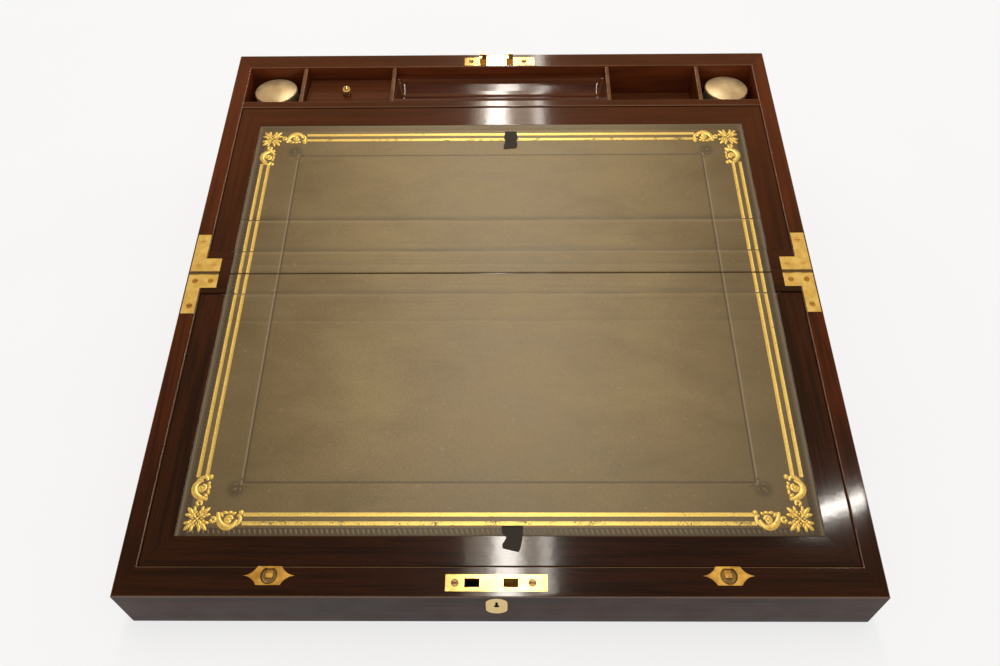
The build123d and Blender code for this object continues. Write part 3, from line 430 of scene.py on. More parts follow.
@dataclass(frozen=True)
class FadedLeather(Finish):
    """Faded olive leather with a fine grain, darkened where hot tools have pressed it, with painted shade
    along its folds, sides and near end and painted highlights beside its folds and tooled lines.
    """

    light: Colour = paint(151, 128, 78)
    middle: Colour = paint(140, 117, 69)
    worn: Colour = paint(125, 103, 57)
    burnt_and_shade: Colour = paint(58, 47, 30)
    rubbed: Colour = paint(168, 150, 116)
    shade: Colour = paint(95, 77, 41)
    tooled: bool = True
    creases: tuple[tuple[float, float], ...] = (
        (49.5, 0.40), (20.0, 0.30), (8.0, 0.10), (-18.0, 0.24), (-41.0, 0.10),
    )
    half: float = LEATHER_HALF
    far: float = LEATHER_FAR
    near: float = LEATHER_NEAR
    blind_half: float = BLIND_HALF
    blind_far: float = BLIND_FAR
    blind_near: float = BLIND_NEAR
    sprig_out: float = 4.2

    def mark(self, bench: Bench, colour: Socket) -> Socket:
        """Darkens the leather along the blind lines and the roll at its edge, and paints shade and light
        along the folds and highlights beside the tooled lines.

        Args:
            bench: Where the finish is mixed.
            colour: The plain leather's colour.

        Returns:
            The colour with its marks.
        """
        place = bench.even(1)
        across = bench.amount(bench.part(place, 0))
        run = bench.part(place, 1)
        wander = bench.noise(bench.pattern((24, 60, 60)), detail=3)
        line = bench.plus(run, bench.times(bench.less(wander, 0.5), 1.8))
        fade = bench.stretch(bench.noise(bench.even(60), detail=3), 0.3, 0.6, 0.55, 1.0)
        # Painted shade above each crease, and a painted highlight just below it.
        for at, depth in self.creases:
            above = bench.stretch(line, at, at + 5.5, depth, 0.0)
            step = bench.stretch(line, at - 0.5, at + 0.1)
            dark = bench.times(bench.times(above, step), fade)
            sharp = bench.times(bench.line(line, at, 0.7), 0.8 * depth)
            colour = bench.blend(bench.most(dark, sharp), colour, self.burnt_and_shade)
            painted_crease_light = bench.stretch(line, at - 4.5, at - 0.5, 0.0, 0.6 * depth)
            colour = bench.stain(colour, painted_crease_light, bench.less(1.0, step), self.rubbed)
        beyond = bench.less(across, self.blind_half + self.sprig_out)
        half_long = (self.blind_far + self.blind_near) / 2 + self.sprig_out
        middle = (self.blind_far - self.blind_near) / 2
        past = bench.less(bench.amount(bench.less(run, middle)), half_long)
        squares = [bench.sum("POWER", bench.amount(side), 2.0) for side in (beyond, past)]
        away = bench.sum("SQRT", bench.plus(*squares))
        colour = bench.blend(bench.stretch(away, 3.0, 7.5, 0.55, 0.0), colour, self.burnt_and_shade)
        colour = bench.stain(colour, bench.line(run, 0.0, 1.1), 0.85, self.burnt_and_shade)
        ends = bench.most(bench.less(run, self.blind_far), bench.less(-self.blind_near, run))
        outside = bench.most(bench.less(across, self.blind_half), ends)
        colour = bench.stain(colour, bench.line(outside, -0.3, 1.1), 0.72, self.burnt_and_shade)
        # Painted highlight: a lighter line along the outer side of the upright blind lines.
        upright = bench.stretch(bench.less(across, self.blind_half), -0.5, 0.2, 0.0, 0.42)
        colour = bench.stain(colour, bench.line(outside, 0.95, 0.9), upright, self.rubbed)
        aside = bench.least(bench.less(self.half, across), bench.less(self.far, run))
        roll = bench.times(bench.stretch(aside, 2.4, 2.9), bench.stretch(aside, 6.0, 7.5, 0.72, 0.0))
        clear = bench.stretch(run, self.far - 9.0, self.far - 7.0, 1.0, 0.45)
        colour = bench.stain(colour, roll, clear, self.burnt_and_shade)
        colour = bench.blend(bench.stretch(aside, 2.2, 3.0, 0.42, 0.0), colour, self.burnt_and_shade)
        # Painted highlight on the ridge between the two tooled fillets at the edge.
        colour = bench.stain(colour, bench.line(aside, 1.3, 0.6), 0.30, self.rubbed)
        close = bench.plus(run, self.near)
        row = bench.times(bench.stretch(close, 0.1, 0.5, 0.4, 1.0), bench.stretch(close, 4.6, 5.6, 0.88, 0.0))
        return bench.stain(colour, row, bench.stretch(aside, 2.3, 2.8), self.burnt_and_shade)

    def mix(self, bench: Bench) -> bpy.types.Material:
        """Lays the grain, the wrinkles and the fading over each other."""
        clouds = bench.noise(bench.pattern((75, 40, 60)), detail=5, rough=0.6, bend=0.4)
        colour = bench.ramp(clouds, (0.30, self.worn), (0.50, self.middle), (0.70, self.light))
        # Painted shade: the leather darkens towards both sides and the near end.
        place = bench.even(1)
        side = bench.stretch(bench.amount(bench.part(place, 0)), 70, 200)
        colour = bench.stain(colour, side, 0.72, self.shade)
        colour = bench.blend(bench.stretch(bench.part(place, 1), -200, -95, 0.42, 0.0), colour, self.shade)
        streaks = bench.noise(bench.pattern((110, 3.0, 60)), detail=4, rough=0.55, bend=0.2)
        beside = bench.stretch(bench.amount(bench.part(place, 1)), 20, 80, 1.0, 0.2)
        wrinkle = bench.times(streaks, beside)
        # Painted shade darkens the leather along its wrinkles.
        colour = bench.stain(colour, bench.stretch(wrinkle, 0.46, 0.66), 0.30, paint(108, 92, 62))
        pebble = bench.cells(bench.even(0.9))
        fine = bench.noise(bench.even(0.35), detail=2)
        specks = bench.noise(bench.pattern((6, 4, 6)), detail=4, rough=0.7)
        colour = bench.stain(colour, bench.stretch(pebble, 0.2, 0.8), 0.18, self.burnt_and_shade)
        colour = bench.stain(colour, bench.stretch(specks, 0.64, 0.72), 0.35, self.rubbed)
        if self.tooled:
            colour = self.mark(bench, colour)
        relief = bench.bump(wrinkle, 0.22)
        relief = bench.bump(bench.less(1.0, pebble), 0.05, relief)
        relief = bench.bump(fine, 0.02, relief)
        return bench.close(
            Base_Color=colour,
            Roughness=bench.stretch(clouds, 0.3, 0.7, 0.38, 0.46),
            Normal=relief,
            Specular_IOR_Level=0.6,
        )


@dataclass(frozen=True)
class GoldLeaf(Finish):
    """Gold leaf pressed into leather, rubbed through in places."""

    rubbed: float = 0.3
    gold: Colour = paint(248, 220, 124)
    ground: Colour = paint(96, 70, 30)

    def mix(self, bench: Bench) -> bpy.types.Material:
        """Lets the ground show through where the leaf is rubbed."""
        patches = bench.noise(bench.even(9), detail=5, rough=0.72)
        crumbs = bench.noise(bench.even(0.8), detail=3, rough=0.6)
        both = bench.plus(bench.times(patches, 0.62), bench.times(crumbs, 0.38))
        leaf = bench.stretch(both, 0.28 + 0.32 * self.rubbed, 0.36 + 0.34 * self.rubbed)
        tone = bench.ramp(
            crumbs, (0.35, paint(232, 190, 88)), (0.55, self.gold), (0.75, paint(253, 238, 160))
        )
        return bench.close(
            Base_Color=bench.blend(leaf, self.ground, tone),
            Metallic=bench.times(leaf, 0.66),
            Roughness=bench.stretch(crumbs, 0.3, 0.7, 0.30, 0.46),
            Normal=bench.bump(crumbs, 0.06),
        )


@dataclass(frozen=True)
class Brass(Finish):
    """Yellow brass, brushed along and spotted with dirt, with painted shade in a hinge's joint and on the
    left of the lock.
    """

    bright: Colour = paint(250, 208, 112)
    dull: Colour = paint(224, 176, 84)
    dirt_and_shade: Colour = paint(70, 46, 18)
    dirty: float = 0.30
    metal: float = 0.5
    gloss: float = 0.31
    joint: bool = False
    shaded: bool = False

    def mix(self, bench: Bench) -> bpy.types.Material:
        """Brushes the metal, dulls it in patches, spots it with dirt, and paints dirt and shade in the joint
        and shade on its left side.
        """
        brushed = bench.noise(bench.pattern((9, 0.16, 0.16)), detail=3)
        patches = bench.noise(bench.even(8), detail=5, rough=0.65)
        spots = bench.noise(bench.even(1.6), detail=3, rough=0.6)
        colour = bench.blend(bench.stretch(patches, 0.36, 0.62), self.bright, self.dull)
        soil_and_shade = bench.times(bench.stretch(spots, 0.60, 0.76), self.dirty)
        # Dirt and painted shade: darker along the hinge's joint, where the knuckle lies in shade.
        if self.joint:
            beside = bench.amount(bench.part(bench.even(1), 1))
            soil_and_shade = bench.most(soil_and_shade, bench.stretch(beside, 0.95, 1.5, 0.95, 0.0))
        # Painted shade: the left side darkens, for the empty slot in shade.
        if self.shaded:
            aside = bench.part(bench.even(1), 0)
            soil_and_shade = bench.most(soil_and_shade, bench.stretch(aside, -6.0, -2.0, 1.0, 0.0))
        colour = bench.blend(soil_and_shade, colour, self.dirt_and_shade)
        brushing = bench.stretch(brushed, 0.2, 0.8, self.gloss, self.gloss + 0.12)
        rough = bench.plus(brushing, bench.times(soil_and_shade, 0.3))
        relief = bench.bump(brushed, 0.006)
        return bench.close(
            Base_Color=colour,
            Metallic=bench.stretch(soil_and_shade, 0.0, 1.0, self.metal, 0.25),
            Roughness=rough,
            Normal=bench.bump(patches, 0.05, relief),
        )


@dataclass(frozen=True)
class SilverPlate(Finish):
    """Cream-coloured worn silver plate, satin and lightly pitted."""

    def mix(self, bench: Bench) -> bpy.types.Material:
        """Clouds the plate and pits it."""
        clouds = bench.noise(bench.even(11), detail=5, rough=0.62)
        pits = bench.noise(bench.even(0.7), detail=2)
        colour = bench.ramp(clouds, (0.30, paint(204, 185, 144)), (0.52, paint(219, 200, 158)),
                            (0.72, paint(233, 216, 176)))
        colour = bench.stain(colour, bench.stretch(pits, 0.66, 0.78), 0.5, paint(120, 96, 62))
        return bench.close(
            Base_Color=colour,
            Metallic=0.75,
            Roughness=bench.stretch(clouds, 0.3, 0.7, 0.36, 0.46),
            Normal=bench.bump(bench.plus(clouds, bench.times(pits, 0.2)), 0.05),
        )


@dataclass(frozen=True)
class BottleGlass(Finish):
    """Thick clear glass with a trace of green and an uneven skin."""

    def mix(self, bench: Bench) -> bpy.types.Material:
        """Makes the glass, with a slow ripple in it."""
        ripple = bench.noise(bench.even(14, False), detail=2)
        haze = bench.noise(bench.even(6, False), detail=4, rough=0.6)
        return bench.close(
            Base_Color=bench.ramp(haze, (0.3, paint(226, 240, 232)), (0.7, paint(246, 252, 248))),
            Roughness=bench.stretch(haze, 0.35, 0.75, 0.01, 0.06),
            Transmission_Weight=1.0,
            IOR=1.5,
            Normal=bench.bump(ripple, 0.12),
        )


@dataclass(frozen=True)
class SilkRibbon(Finish):
    """Black ribbed silk ribbon."""

    def mix(self, bench: Bench) -> bpy.types.Material:
        """Weaves close ribs across the ribbon and fine threads along it."""
        place = bench.pattern((0.42, 0.20, 1.0))
        ribs = bench.sum("SINE", bench.times(bench.part(place, 0), math.tau))
        threads = bench.sum("SINE", bench.times(bench.part(place, 1), math.tau))
        weave = bench.plus(bench.times(ribs, 0.35), bench.times(threads, 0.15))
        lift = bench.sum("ADD", weave, 0.5, clamp=True)
        fade = bench.noise(bench.even(4), detail=4)
        colour = bench.blend(bench.stretch(fade, 0.4, 0.7), paint(18, 15, 9), paint(40, 33, 19))
        colour = bench.stain(colour, lift, 0.4, paint(60, 50, 30))
        return bench.close(
            Base_Color=colour,
            Roughness=bench.stretch(fade, 0.3, 0.7, 0.62, 0.8),
            Sheen_Weight=0.35,
            Sheen_Roughness=0.4,
            Normal=bench.bump(lift, 0.05),
        )


@dataclass(frozen=True)
class SealLeather(Finish):
    """The brown washer of leather inside a cap."""

    def mix(self, bench: Bench) -> bpy.types.Material:
        """Gives the washer a coarse nap."""
        nap = bench.noise(bench.even(0.5, False), detail=4)
        return bench.close(
            Base_Color=bench.ramp(nap, (0.35, paint(74, 44, 24)), (0.65, paint(116, 74, 42))),
            Roughness=bench.stretch(nap, 0.3, 0.7, 0.7, 0.9),
            Normal=bench.bump(nap, 0.12),
        )


@dataclass(frozen=True)
class PaleFloor(Finish):
    """The pale studio floor, which keeps the box's shadow."""

    def mix(self, bench: Bench) -> bpy.types.Material:
        """Mixes a pale floor with its own light, for what looks straight at it or through glass."""
        speck = bench.noise(bench.even(160, False), detail=2)
        flat = bench.node("BsdfDiffuse")
        pale = bench.ramp(speck, (0.3, paint(236, 235, 233)), (0.7, paint(240, 239, 237)))
        bench.put(flat.inputs["Color"], pale)
        glow = bench.node("Emission")
        ray = bench.node("LightPath")
        seen = bench.most(ray.outputs["Is Camera Ray"], ray.outputs["Is Glossy Ray"])
        seen = bench.most(seen, ray.outputs["Is Transmission Ray"])
        both = bench.node("MixShader")
        bench.put(both.inputs[0], bench.times(seen, 0.72))
        bench.put(both.inputs[1], flat.outputs[0])
        bench.put(both.inputs[2], glow.outputs[0])
        bench.put(bench.node("OutputMaterial").inputs["Surface"], both.outputs[0])
        return bench.owner


ROSEWOOD_ACROSS = PolishedWood("rosewood, grain across", "rosewood", Grain.ACROSS)
ROSEWOOD_ALONG = PolishedWood("rosewood, grain along", "rosewood", Grain.ALONG)
ROSEWOOD_RIM = PolishedWood(
    "redder rosewood, grain along", "rosewood", Grain.ALONG,
    paint(44, 20, 9), paint(60, 27, 12), paint(84, 35, 14), age=0.75,
)
WORN_ACROSS = PolishedWood("worn rosewood, grain across", "rosewood", Grain.ACROSS, coat=0.12, age=0.0)
WORN_ALONG = PolishedWood("worn rosewood, grain along", "rosewood", Grain.ALONG, coat=0.12, age=0.0)
# Lighter wood for the upright faces inside the box: painted light that makes up for the shade in the cells.
INNER_PAINTED_LIGHT = PolishedWood(
    "rosewood inside the box", "rosewood", Grain.ACROSS,
    paint(64, 31, 15), paint(84, 41, 19), paint(104, 50, 24), coat=0.3,
)
# Lighter wood for rounded top edges: wear, and a painted highlight where light catches them.
RUBBED_AND_HIGHLIT_EDGE = PolishedWood(
    "rosewood rubbed at its edges", "rosewood", Grain.ACROSS,
    paint(74, 52, 34), paint(94, 66, 43), paint(114, 82, 54),
)
FITTED_ACROSS = PolishedWood(
    "dark fitted wood, grain across", "ebonised_wood", Grain.ACROSS,
    paint(28, 14, 8), paint(44, 22, 11), paint(62, 29, 14), False,
)
DULL_ACROSS = PolishedWood(
    "dull fitted wood, grain across", "ebonised_wood", Grain.ACROSS,
    paint(50, 29, 17), paint(66, 39, 23), paint(82, 48, 28), False, 0.25,
)
FITTED_ALONG = PolishedWood(
    "dark fitted wood, grain along", "ebonised_wood", Grain.ALONG,
    paint(50, 25, 13), paint(70, 34, 17), paint(92, 44, 21), False, 0.5,
)
CARCASS_ACROSS = PlainWood("carcass wood, grain across", "carcass_wood", Grain.ACROSS)
CARCASS_ALONG = PlainWood("carcass wood, grain along", "carcass_wood", Grain.ALONG)
LEATHER = FadedLeather("faded leather", "tooled_leather")
RAISED_LEATHER = FadedLeather("raised leather", "tooled_leather", tooled=False)
GOLD = GoldLeaf("gold leaf", "tooled_leather", 0.15)
RUBBED_GOLD = GoldLeaf("rubbed gold leaf", "tooled_leather", 0.34)
BRASS = Brass("brass", "brass")
HINGE_BRASS = Brass("hinge brass", "brass", paint(252, 218, 120), paint(234, 192, 94), joint=True)
PLATE_BRASS = Brass("lock plate brass", "brass", paint(252, 216, 130), paint(236, 194, 106), gloss=0.11)
BOLT_BRASS = Brass("bolt brass", "brass", paint(230, 192, 104), paint(206, 166, 82), shaded=True)
DISH_BRASS = Brass(
    "dull brass of a dish", "brass", paint(150, 118, 58), paint(112, 86, 40), paint(44, 28, 12), 0.45, 0.35
)
# Tarnish in slots and hollows; also the painted shade in the ring round each screw head.
TARNISH_AND_SHADE_BRASS = Brass(
    "tarnished brass", "brass", paint(84, 60, 26), paint(62, 42, 16), paint(30, 18, 8), 0.6
)
CATCH_BRASS = Brass("catch brass", "brass", paint(236, 186, 84), paint(192, 140, 54), metal=0.55)
SCREW_BRASS = Brass("screw brass", "screw_brass", paint(196, 152, 100), paint(160, 118, 76), dirty=0.6)
FLUSH_SCREW = Brass("flush screw brass", "screw_brass", paint(240, 202, 108), paint(222, 178, 88), dirty=0.15)
DULL_SCREW = Brass("dull screw brass", "screw_brass", paint(204, 154, 64), paint(176, 128, 48), dirty=0.35)
SILVER = SilverPlate("worn silver plate", "silvered_cap")
GLASS = BottleGlass("bottle glass", "glass")
RIBBON = SilkRibbon("black silk ribbon", "ribbon")
SEAL = SealLeather("seal leather", "seal_leather")


# ---------------------------------------------------------------------------------------------
# Ways of shaping
# ---------------------------------------------------------------------------------------------
def slab(
    bm: bmesh.types.BMesh,
    columns: Sequence[float],
    rows: Sequence[float],
    top: Height,
    under: Height,
    material: int = 0,
) -> None:
    """Adds a closed sheet whose grid follows the lines that its relief needs.

    Args:
        bm: The mesh that it is added to, in millimetres on the slope.
        columns: Where the grid's lines cross the sheet from side to side.
        rows: Where they cross it from near to far.
        top: Height of the upper face at a place.
        under: Height of the lower face at a place.
        material: The number of its finish.
    """
    across, along = len(columns) - 1, len(rows) - 1
    grid = bmesh.ops.create_grid(bm, x_segments=across, y_segments=along, size=0.5)["verts"]
    for vert in grid:
        x = columns[round((vert.co.x + 0.5) * across)]
        run = rows[round((vert.co.y + 0.5) * along)]
        vert.co = (x, run, under(x, run))
    faces = list({face for vert in grid for face in vert.link_faces})
    raised = bmesh.ops.extrude_face_region(bm, geom=faces)["geom"]
    for vert in raised:
        if isinstance(vert, bmesh.types.BMVert):
            vert.co.z = top(vert.co.x, vert.co.y)
    for face in {face for vert in grid for face in vert.link_faces}:
        face.material_index = material
    for face in raised:
        if isinstance(face, bmesh.types.BMFace):
            face.material_index = material


def stroke(
    bm: bmesh.types.BMesh,
    points: Sequence[tuple[float, float]],
    widths: Sequence[float],
    place: Matrix,
    relief: float = 0.32,
) -> None:
    """Adds a rounded stroke that swells and thins along a smooth line.

    Args:
        bm: The mesh that it is added to.
        points: The line's points, in millimetres.
        widths: Half the stroke's width at each point.
        place: Where the stroke's own plane lies.
        relief: How high it stands for its width.
    """
    data = bpy.data.curves.new("stroke", "CURVE")
    data.dimensions = "3D"
    data.bevel_depth = 1.0
    data.bevel_resolution = 1
    data.resolution_u = 4
    data.use_fill_caps = True
    line = data.splines.new("NURBS")
    line.points.add(len(points) - 1)
    for point, (x, y), width in zip(line.points, points, widths):
        point.co = (x, y, 0.0, 1.0)
        point.radius = width
    line.order_u = 3
    line.use_endpoint_u = True
    holder = bpy.data.objects.new("stroke", data)
    mesh = bpy.data.meshes.new_from_object(holder)
    mesh.transform(place @ Matrix.Diagonal((1, 1, relief, 1)))
    bm.from_mesh(mesh)
    bpy.data.objects.remove(holder)
    bpy.data.curves.remove(data)
    bpy.data.meshes.remove(mesh)


def petal(
    bm: bmesh.types.BMesh,
    place: Matrix,
    centre: tuple[float, float],
    length: float,
    width: float,
    height: float,
    turn: float = 0.0,
    sides: int = 10,
) -> None:
    """Adds a low dome with an oval outline.

    Args:
        bm: The mesh that it is added to.
        place: Where the ornament's own plane lies.
        centre: The middle of the dome in that plane, in millimetres.
        length: Half its length.
        width: Half its width.
        height: How high it stands.
        turn: How far its length is turned, in radians.
        sides: How many sides its outline has.
    """
    shape = (
        place
        @ Matrix.Translation((centre[0], centre[1], 0))
        @ Matrix.Rotation(turn, 4, "Z")
        @ Matrix.Diagonal((length, width, height, 1))
    )
    bmesh.ops.create_uvsphere(bm, u_segments=sides, v_segments=6, radius=1.0, matrix=shape)


def spun(
    bm: bmesh.types.BMesh,
    profile: Sequence[tuple[float, float]],
    centre: tuple[float, float],
    steps: int,
) -> None:
    """Adds a turned shape with an upright axis.

    Args:
        bm: The mesh that it is added to, in millimetres level with the table.
        profile: Distance from the axis and height of each point of its outline.
        centre: Where the axis stands.
        steps: How many sides it is turned with.
    """
    line = [bm.verts.new((centre[0] + out, centre[1], high)) for out, high in profile]
    edges = [bm.edges.new(pair) for pair in zip(line, line[1:])]
    bmesh.ops.spin(
        bm,
        geom=line + edges,
        cent=(centre[0], centre[1], 0),
        axis=(0, 0, 1),
        angle=math.tau,
        steps=steps,
        use_merge=True,
    )
    bmesh.ops.remove_doubles(bm, verts=bm.verts, dist=0.001)


def copied(node: str) -> bmesh.types.BMesh:
    """Copies a CAD node's mesh, joined up and without needless edges.

    Args:
        node: The node's name.

    Returns:
        The copy, in millimetres on the slope.
    """
    bm = bmesh.new()
    bm.from_mesh(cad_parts[node].data)
    bm.transform(ON_SLOPE.inverted())
    bmesh.ops.remove_doubles(bm, verts=bm.verts, dist=0.002)
    bmesh.ops.dissolve_limit(bm, angle_limit=math.radians(0.5), verts=bm.verts, edges=bm.edges)
    return bm


def soften(bm: bmesh.types.BMesh, chosen: Callable[[Vector, Vector], bool], width: float) -> None:
    """Rounds some of a mesh's edges.

    Args:
        bm: The mesh.
        chosen: Says of an edge's two ends, in millimetres on the slope, whether it is rounded.
        width: How far the rounding reaches on each face, in millimetres.
    """
    edges = [
        edge
        for edge in bm.edges
        if edge.is_manifold
        and edge.calc_face_angle() > math.radians(30)
        and chosen(edge.verts[0].co, edge.verts[1].co)
    ]
    bmesh.ops.bevel(
        bm,
        geom=edges,
        offset=width,
        offset_type="OFFSET",
        segments=2,
        profile=0.5,
        affect="EDGES",
        clamp_overlap=True,
        material=-1,
    )


def rub_and_highlight_edges(bm: bmesh.types.BMesh, depth: float, level: float = 0.985) -> None:
    """Gives the rounded edges at the top of a board their lighter finish, which is its second one: wear, and
    a painted highlight where light catches them.

    Args:
        bm: The board, in millimetres on the slope.
        depth: How far below the rim an edge may lie.
        level: How upright a face's direction must stay below to count as an edge.
    """
    bm.normal_update()
    for face in bm.faces:
        if 0.12 < face.normal.z < level and face.calc_center_median().z > -depth:
            face.material_index = 1


def settle(
    bm: bmesh.types.BMesh,
    name: str,
    finishes: Sequence[Finish],
    body: str | None,
    place: Matrix = ON_SLOPE,
    replaces: Iterable[str] = (),
    sharp: float = 38.0,
    outward: bool = True,
) -> bpy.types.Object:
    """body: The body that it rides on, or None for one that is left unattached.
        place: What brings the mesh to its place in the frame.
        replaces: CAD nodes that it stands for.
        sharp: Edges that turn more than this many degrees stay crisp.
        outward: Whether its faces are turned outwards.

    Returns:
        The piece.
    """
    bm.transform(place)
    if outward:
        bmesh.ops.recalc_face_normals(bm, faces=bm.faces)
    for face in bm.faces:
        face.smooth = True
    for edge in bm.edges:
        edge.smooth = not edge.is_manifold or edge.calc_face_angle() < math.radians(sharp)
    mesh = bpy.data.meshes.new(name)
    bm.to_mesh(mesh)
    bm.free()
    for finish in finishes:
        mesh.materials.append(finish.material())
    piece = bpy.data.objects.new(name, mesh)
    bpy.context.scene.collection.objects.link(piece)
    steady = piece.modifiers.new("even faces", "WEIGHTED_NORMAL")
    steady.keep_sharp = True
    if body:
        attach(piece, body)
    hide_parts(*replaces)
    LOG.info("%s: %d faces, on %s", name, len(mesh.polygons), body or "two bodies")
    return piece


def dress(finish: Finish, *nodes: str) -> None:
    """Gives CAD nodes that keep their shape a finish.

    Args:
        finish: The finish.
        nodes: The names of the nodes.
    """
    for node in nodes:
        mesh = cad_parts[node].data
        mesh.materials.clear()
        mesh.materials.append(finish.material())
        LOG.info("%s: %s", node, finish.name)


# ---------------------------------------------------------------------------------------------
# Studio
# ---------------------------------------------------------------------------------------------
@dataclass
class Studio:
    """The camera, the soft lights and the pale floor."""

    lens: float = 28.42
    eye: tuple[float, float, float] = (0.0068, -0.4077, 0.4956)
    pitch: float = math.radians(49.97)
    heading: float = math.radians(1.01)
    roll: float = math.radians(-0.91)

    def camera(self) -> None:
        """Stands the camera where the photograph was taken from."""
        turn = Vector((math.cos(self.heading), math.sin(self.heading), 0))
        ahead = Vector((-math.sin(self.heading), math.cos(self.heading), 0))
        gaze = ahead * math.cos(self.pitch) - Vector((0, 0, math.sin(self.pitch)))
        crown = ahead * math.sin(self.pitch) + Vector((0, 0, math.cos(self.pitch)))
        right = turn * math.cos(self.roll) + crown * math.sin(self.roll)
        up = crown * math.cos(self.roll) - turn * math.sin(self.roll)
        data = bpy.data.cameras.new("camera")
        data.lens = self.lens
        data.sensor_width = 36.0
        data.clip_start = 0.02
        seat = Matrix((right, up, -gaze)).transposed().to_4x4()
        camera = bpy.data.objects.new("camera", data)
        camera.matrix_world = Matrix.Translation(self.eye) @ seat
        bpy.context.scene.collection.objects.link(camera)
        bpy.context.scene.camera = camera

    def lamp(
        self,
        name: str,
        place: Sequence[float],
        aim: Sequence[float],
        size: Sequence[float],
        power: float,
        tint: Sequence[float] = (1.0, 0.95, 0.87),
    ) -> None:
        """Hangs one soft box.

        Args:
            name: The lamp's name.
            place: Where it hangs, in metres.
            aim: The point that it faces.
            size: Its width and length in metres.
            power: Its light in watts.
            tint: The colour of its light.
        """
        data = bpy.data.lights.new(name, "AREA")
        data.shape = "RECTANGLE"
        data.size, data.size_y = size
        data.energy = power
        lamp = bpy.data.objects.new(name, data)
        lamp.location = place
        lamp.rotation_euler = (Vector(aim) - Vector(place)).to_track_quat("-Z", "Y").to_euler()
        data.color = tint
        lamp.visible_camera = False
        bpy.context.scene.collection.objects.link(lamp)

    def world(self) -> None:
        """Lights the room softly: pale walls, and a dimmer, warmer ceiling that the polish shows."""
        world = bpy.data.worlds.new("room")
        bpy.context.scene.world = world
        bench = Bench(world)
        height = bench.part(bench.node("TexCoord").outputs["Generated"], 2)
        plain = bench.ramp(
            height, (0.10, (1, 1, 1, 1)), (0.45, (0.62, 0.62, 0.62, 1)), (0.75, (0.46, 0.46, 0.46, 1)),
            (1.0, (0.40, 0.40, 0.40, 1)),
        )
        warm = bench.ramp(
            height, (0.10, (1, 1, 1, 1)), (0.35, (0.66, 0.50, 0.32, 1)), (0.78, (0.50, 0.25, 0.09, 1)),
            (0.90, (0.16, 0.09, 0.04, 1)), (1.0, (0.03, 0.02, 0.012, 1)),
        )
        shine = bench.node("LightPath").outputs["Is Glossy Ray"]
        room = bench.node("Background")
        bench.put(room.inputs["Color"], bench.blend(shine, plain, warm))
        bench.put(bench.node("OutputWorld").inputs["Surface"], room.outputs[0])

    def floor(self) -> None:
        """Lays the floor."""
        bm = bmesh.new()
        bmesh.ops.create_grid(bm, x_segments=8, y_segments=8, size=6.0)
        mesh = bpy.data.meshes.new("floor")
        bm.to_mesh(mesh)
        bm.free()
        mesh.materials.append(PaleFloor("pale floor", "").material())
        floor = bpy.data.objects.new("floor", mesh)
        bpy.context.scene.collection.objects.link(floor)

    def build(self) -> None:
        """Sets the studio up."""
        bpy.context.scene.view_settings.view_transform = "Standard"
        self.camera()
        self.world()
        self.floor()
        self.lamp("narrow lamp, near half", (0.0, 0.15, 1.95), (0.0, 0.14, 0.0), (0.075, 1.3), 7.0)
        self.lamp("narrow lamp, far half", (-0.035, 1.35, 1.95), (-0.035, 1.34, 0.0), (0.075, 1.1), 6.0)
        self.lamp("long box overhead", (0.0, 0.65, 2.0), (0.0, 0.64, 0.0), (0.24, 2.5), 5.7,
                  (1.0, 0.86, 0.66))
        self.lamp("thin lamp beside it", (0.117, 0.85, 1.95), (0.117, 0.84, 0.0), (0.03, 2.1), 2.3)
        self.lamp("small box at the right", (1.0, 0.085, 1.95), (0.2, -0.1, 0.05), (0.035, 0.24), 1.2)


# ---------------------------------------------------------------------------------------------
# Carcass
# ---------------------------------------------------------------------------------------------
@dataclass
class Carcass:
    """The walls of both halves, with their worn outer edges."""

    half_width: float = 230.0
    half_depth: float = 228.0
    soft_edge: float = 0.7
    long_edge: float = 30.0
    touch: float = 0.05
    skin: float = 0.4
    rub_and_highlight_depth: float = 0.95

    def outer(self, first: Vector, second: Vector) -> bool:
        """Whether an edge is one of the long outer edges of the rim, or of the box's foot.

        Args:
            first: One end of the edge, in millimetres on the slope.
            second: Its other end.

        Returns:
            True for an edge that is softened.
        """
        ends = [SLOPE @ first, SLOPE @ second]
        if (ends[1] - ends[0]).length < self.long_edge:
            return False
        rim = all(abs(end.z) < self.touch for end in (first, second))
        foot = all(abs(end.z) < self.touch for end in ends)
        side = all(abs(end.x) > self.half_width - self.touch for end in ends)
        end_wall = all(abs(end.y) > self.half_depth - self.touch for end in ends)
        joint = all(abs(end.y) < self.touch for end in ends)
        return (rim or foot) and (side or end_wall or joint)

    def wear(self, bm: bmesh.types.BMesh) -> None:
        """Gives upright outer faces the thin polish of what is often held, and upright faces inside a lighter
        wood: painted light against the shade in the cells.
        """
        for face in bm.faces:
            middle = SLOPE @ face.calc_center_median()
            if abs((SLOPE.to_3x3() @ face.normal).z) < 0.3:
                beside = abs(middle.x) > self.half_width - self.skin
                before = abs(middle.y) > self.half_depth - self.skin
                face.material_index = 2 if beside or before else 3

    def build(self) -> None:
        """Softens the walls and gives every board its wood."""
        for half, walls in (("base", ("side_left", "side_right", "hinge_wall", "back_wall")),
                            ("lid", ("side_left", "side_right", "hinge_wall", "lock_wall", "panel"))):
            for wall in walls:
                node = f"{half}_{wall}"
                along = "side" in wall
                finishes = [ROSEWOOD_RIM if along else ROSEWOOD_ACROSS, RUBBED_AND_HIGHLIT_EDGE,
                            WORN_ALONG if along else WORN_ACROSS, INNER_PAINTED_LIGHT]
                bm = copied(node)
                soften(bm, self.outer, self.soft_edge)
                if wall != "panel":
                    rub_and_highlight_edges(bm, self.rub_and_highlight_depth)
                self.wear(bm)
                settle(bm, f"{node}_polished", finishes, half, replaces=[node], outward=False)
        dress(ROSEWOOD_ACROSS, "base_flap_rail", "lid_flap_rail")
        dress(CARCASS_ACROSS, "base_bottom", "upper_flap_board", "lower_flap_board")
        dress(CARCASS_ALONG, "base_flap_ledges", "lid_flap_ledges")


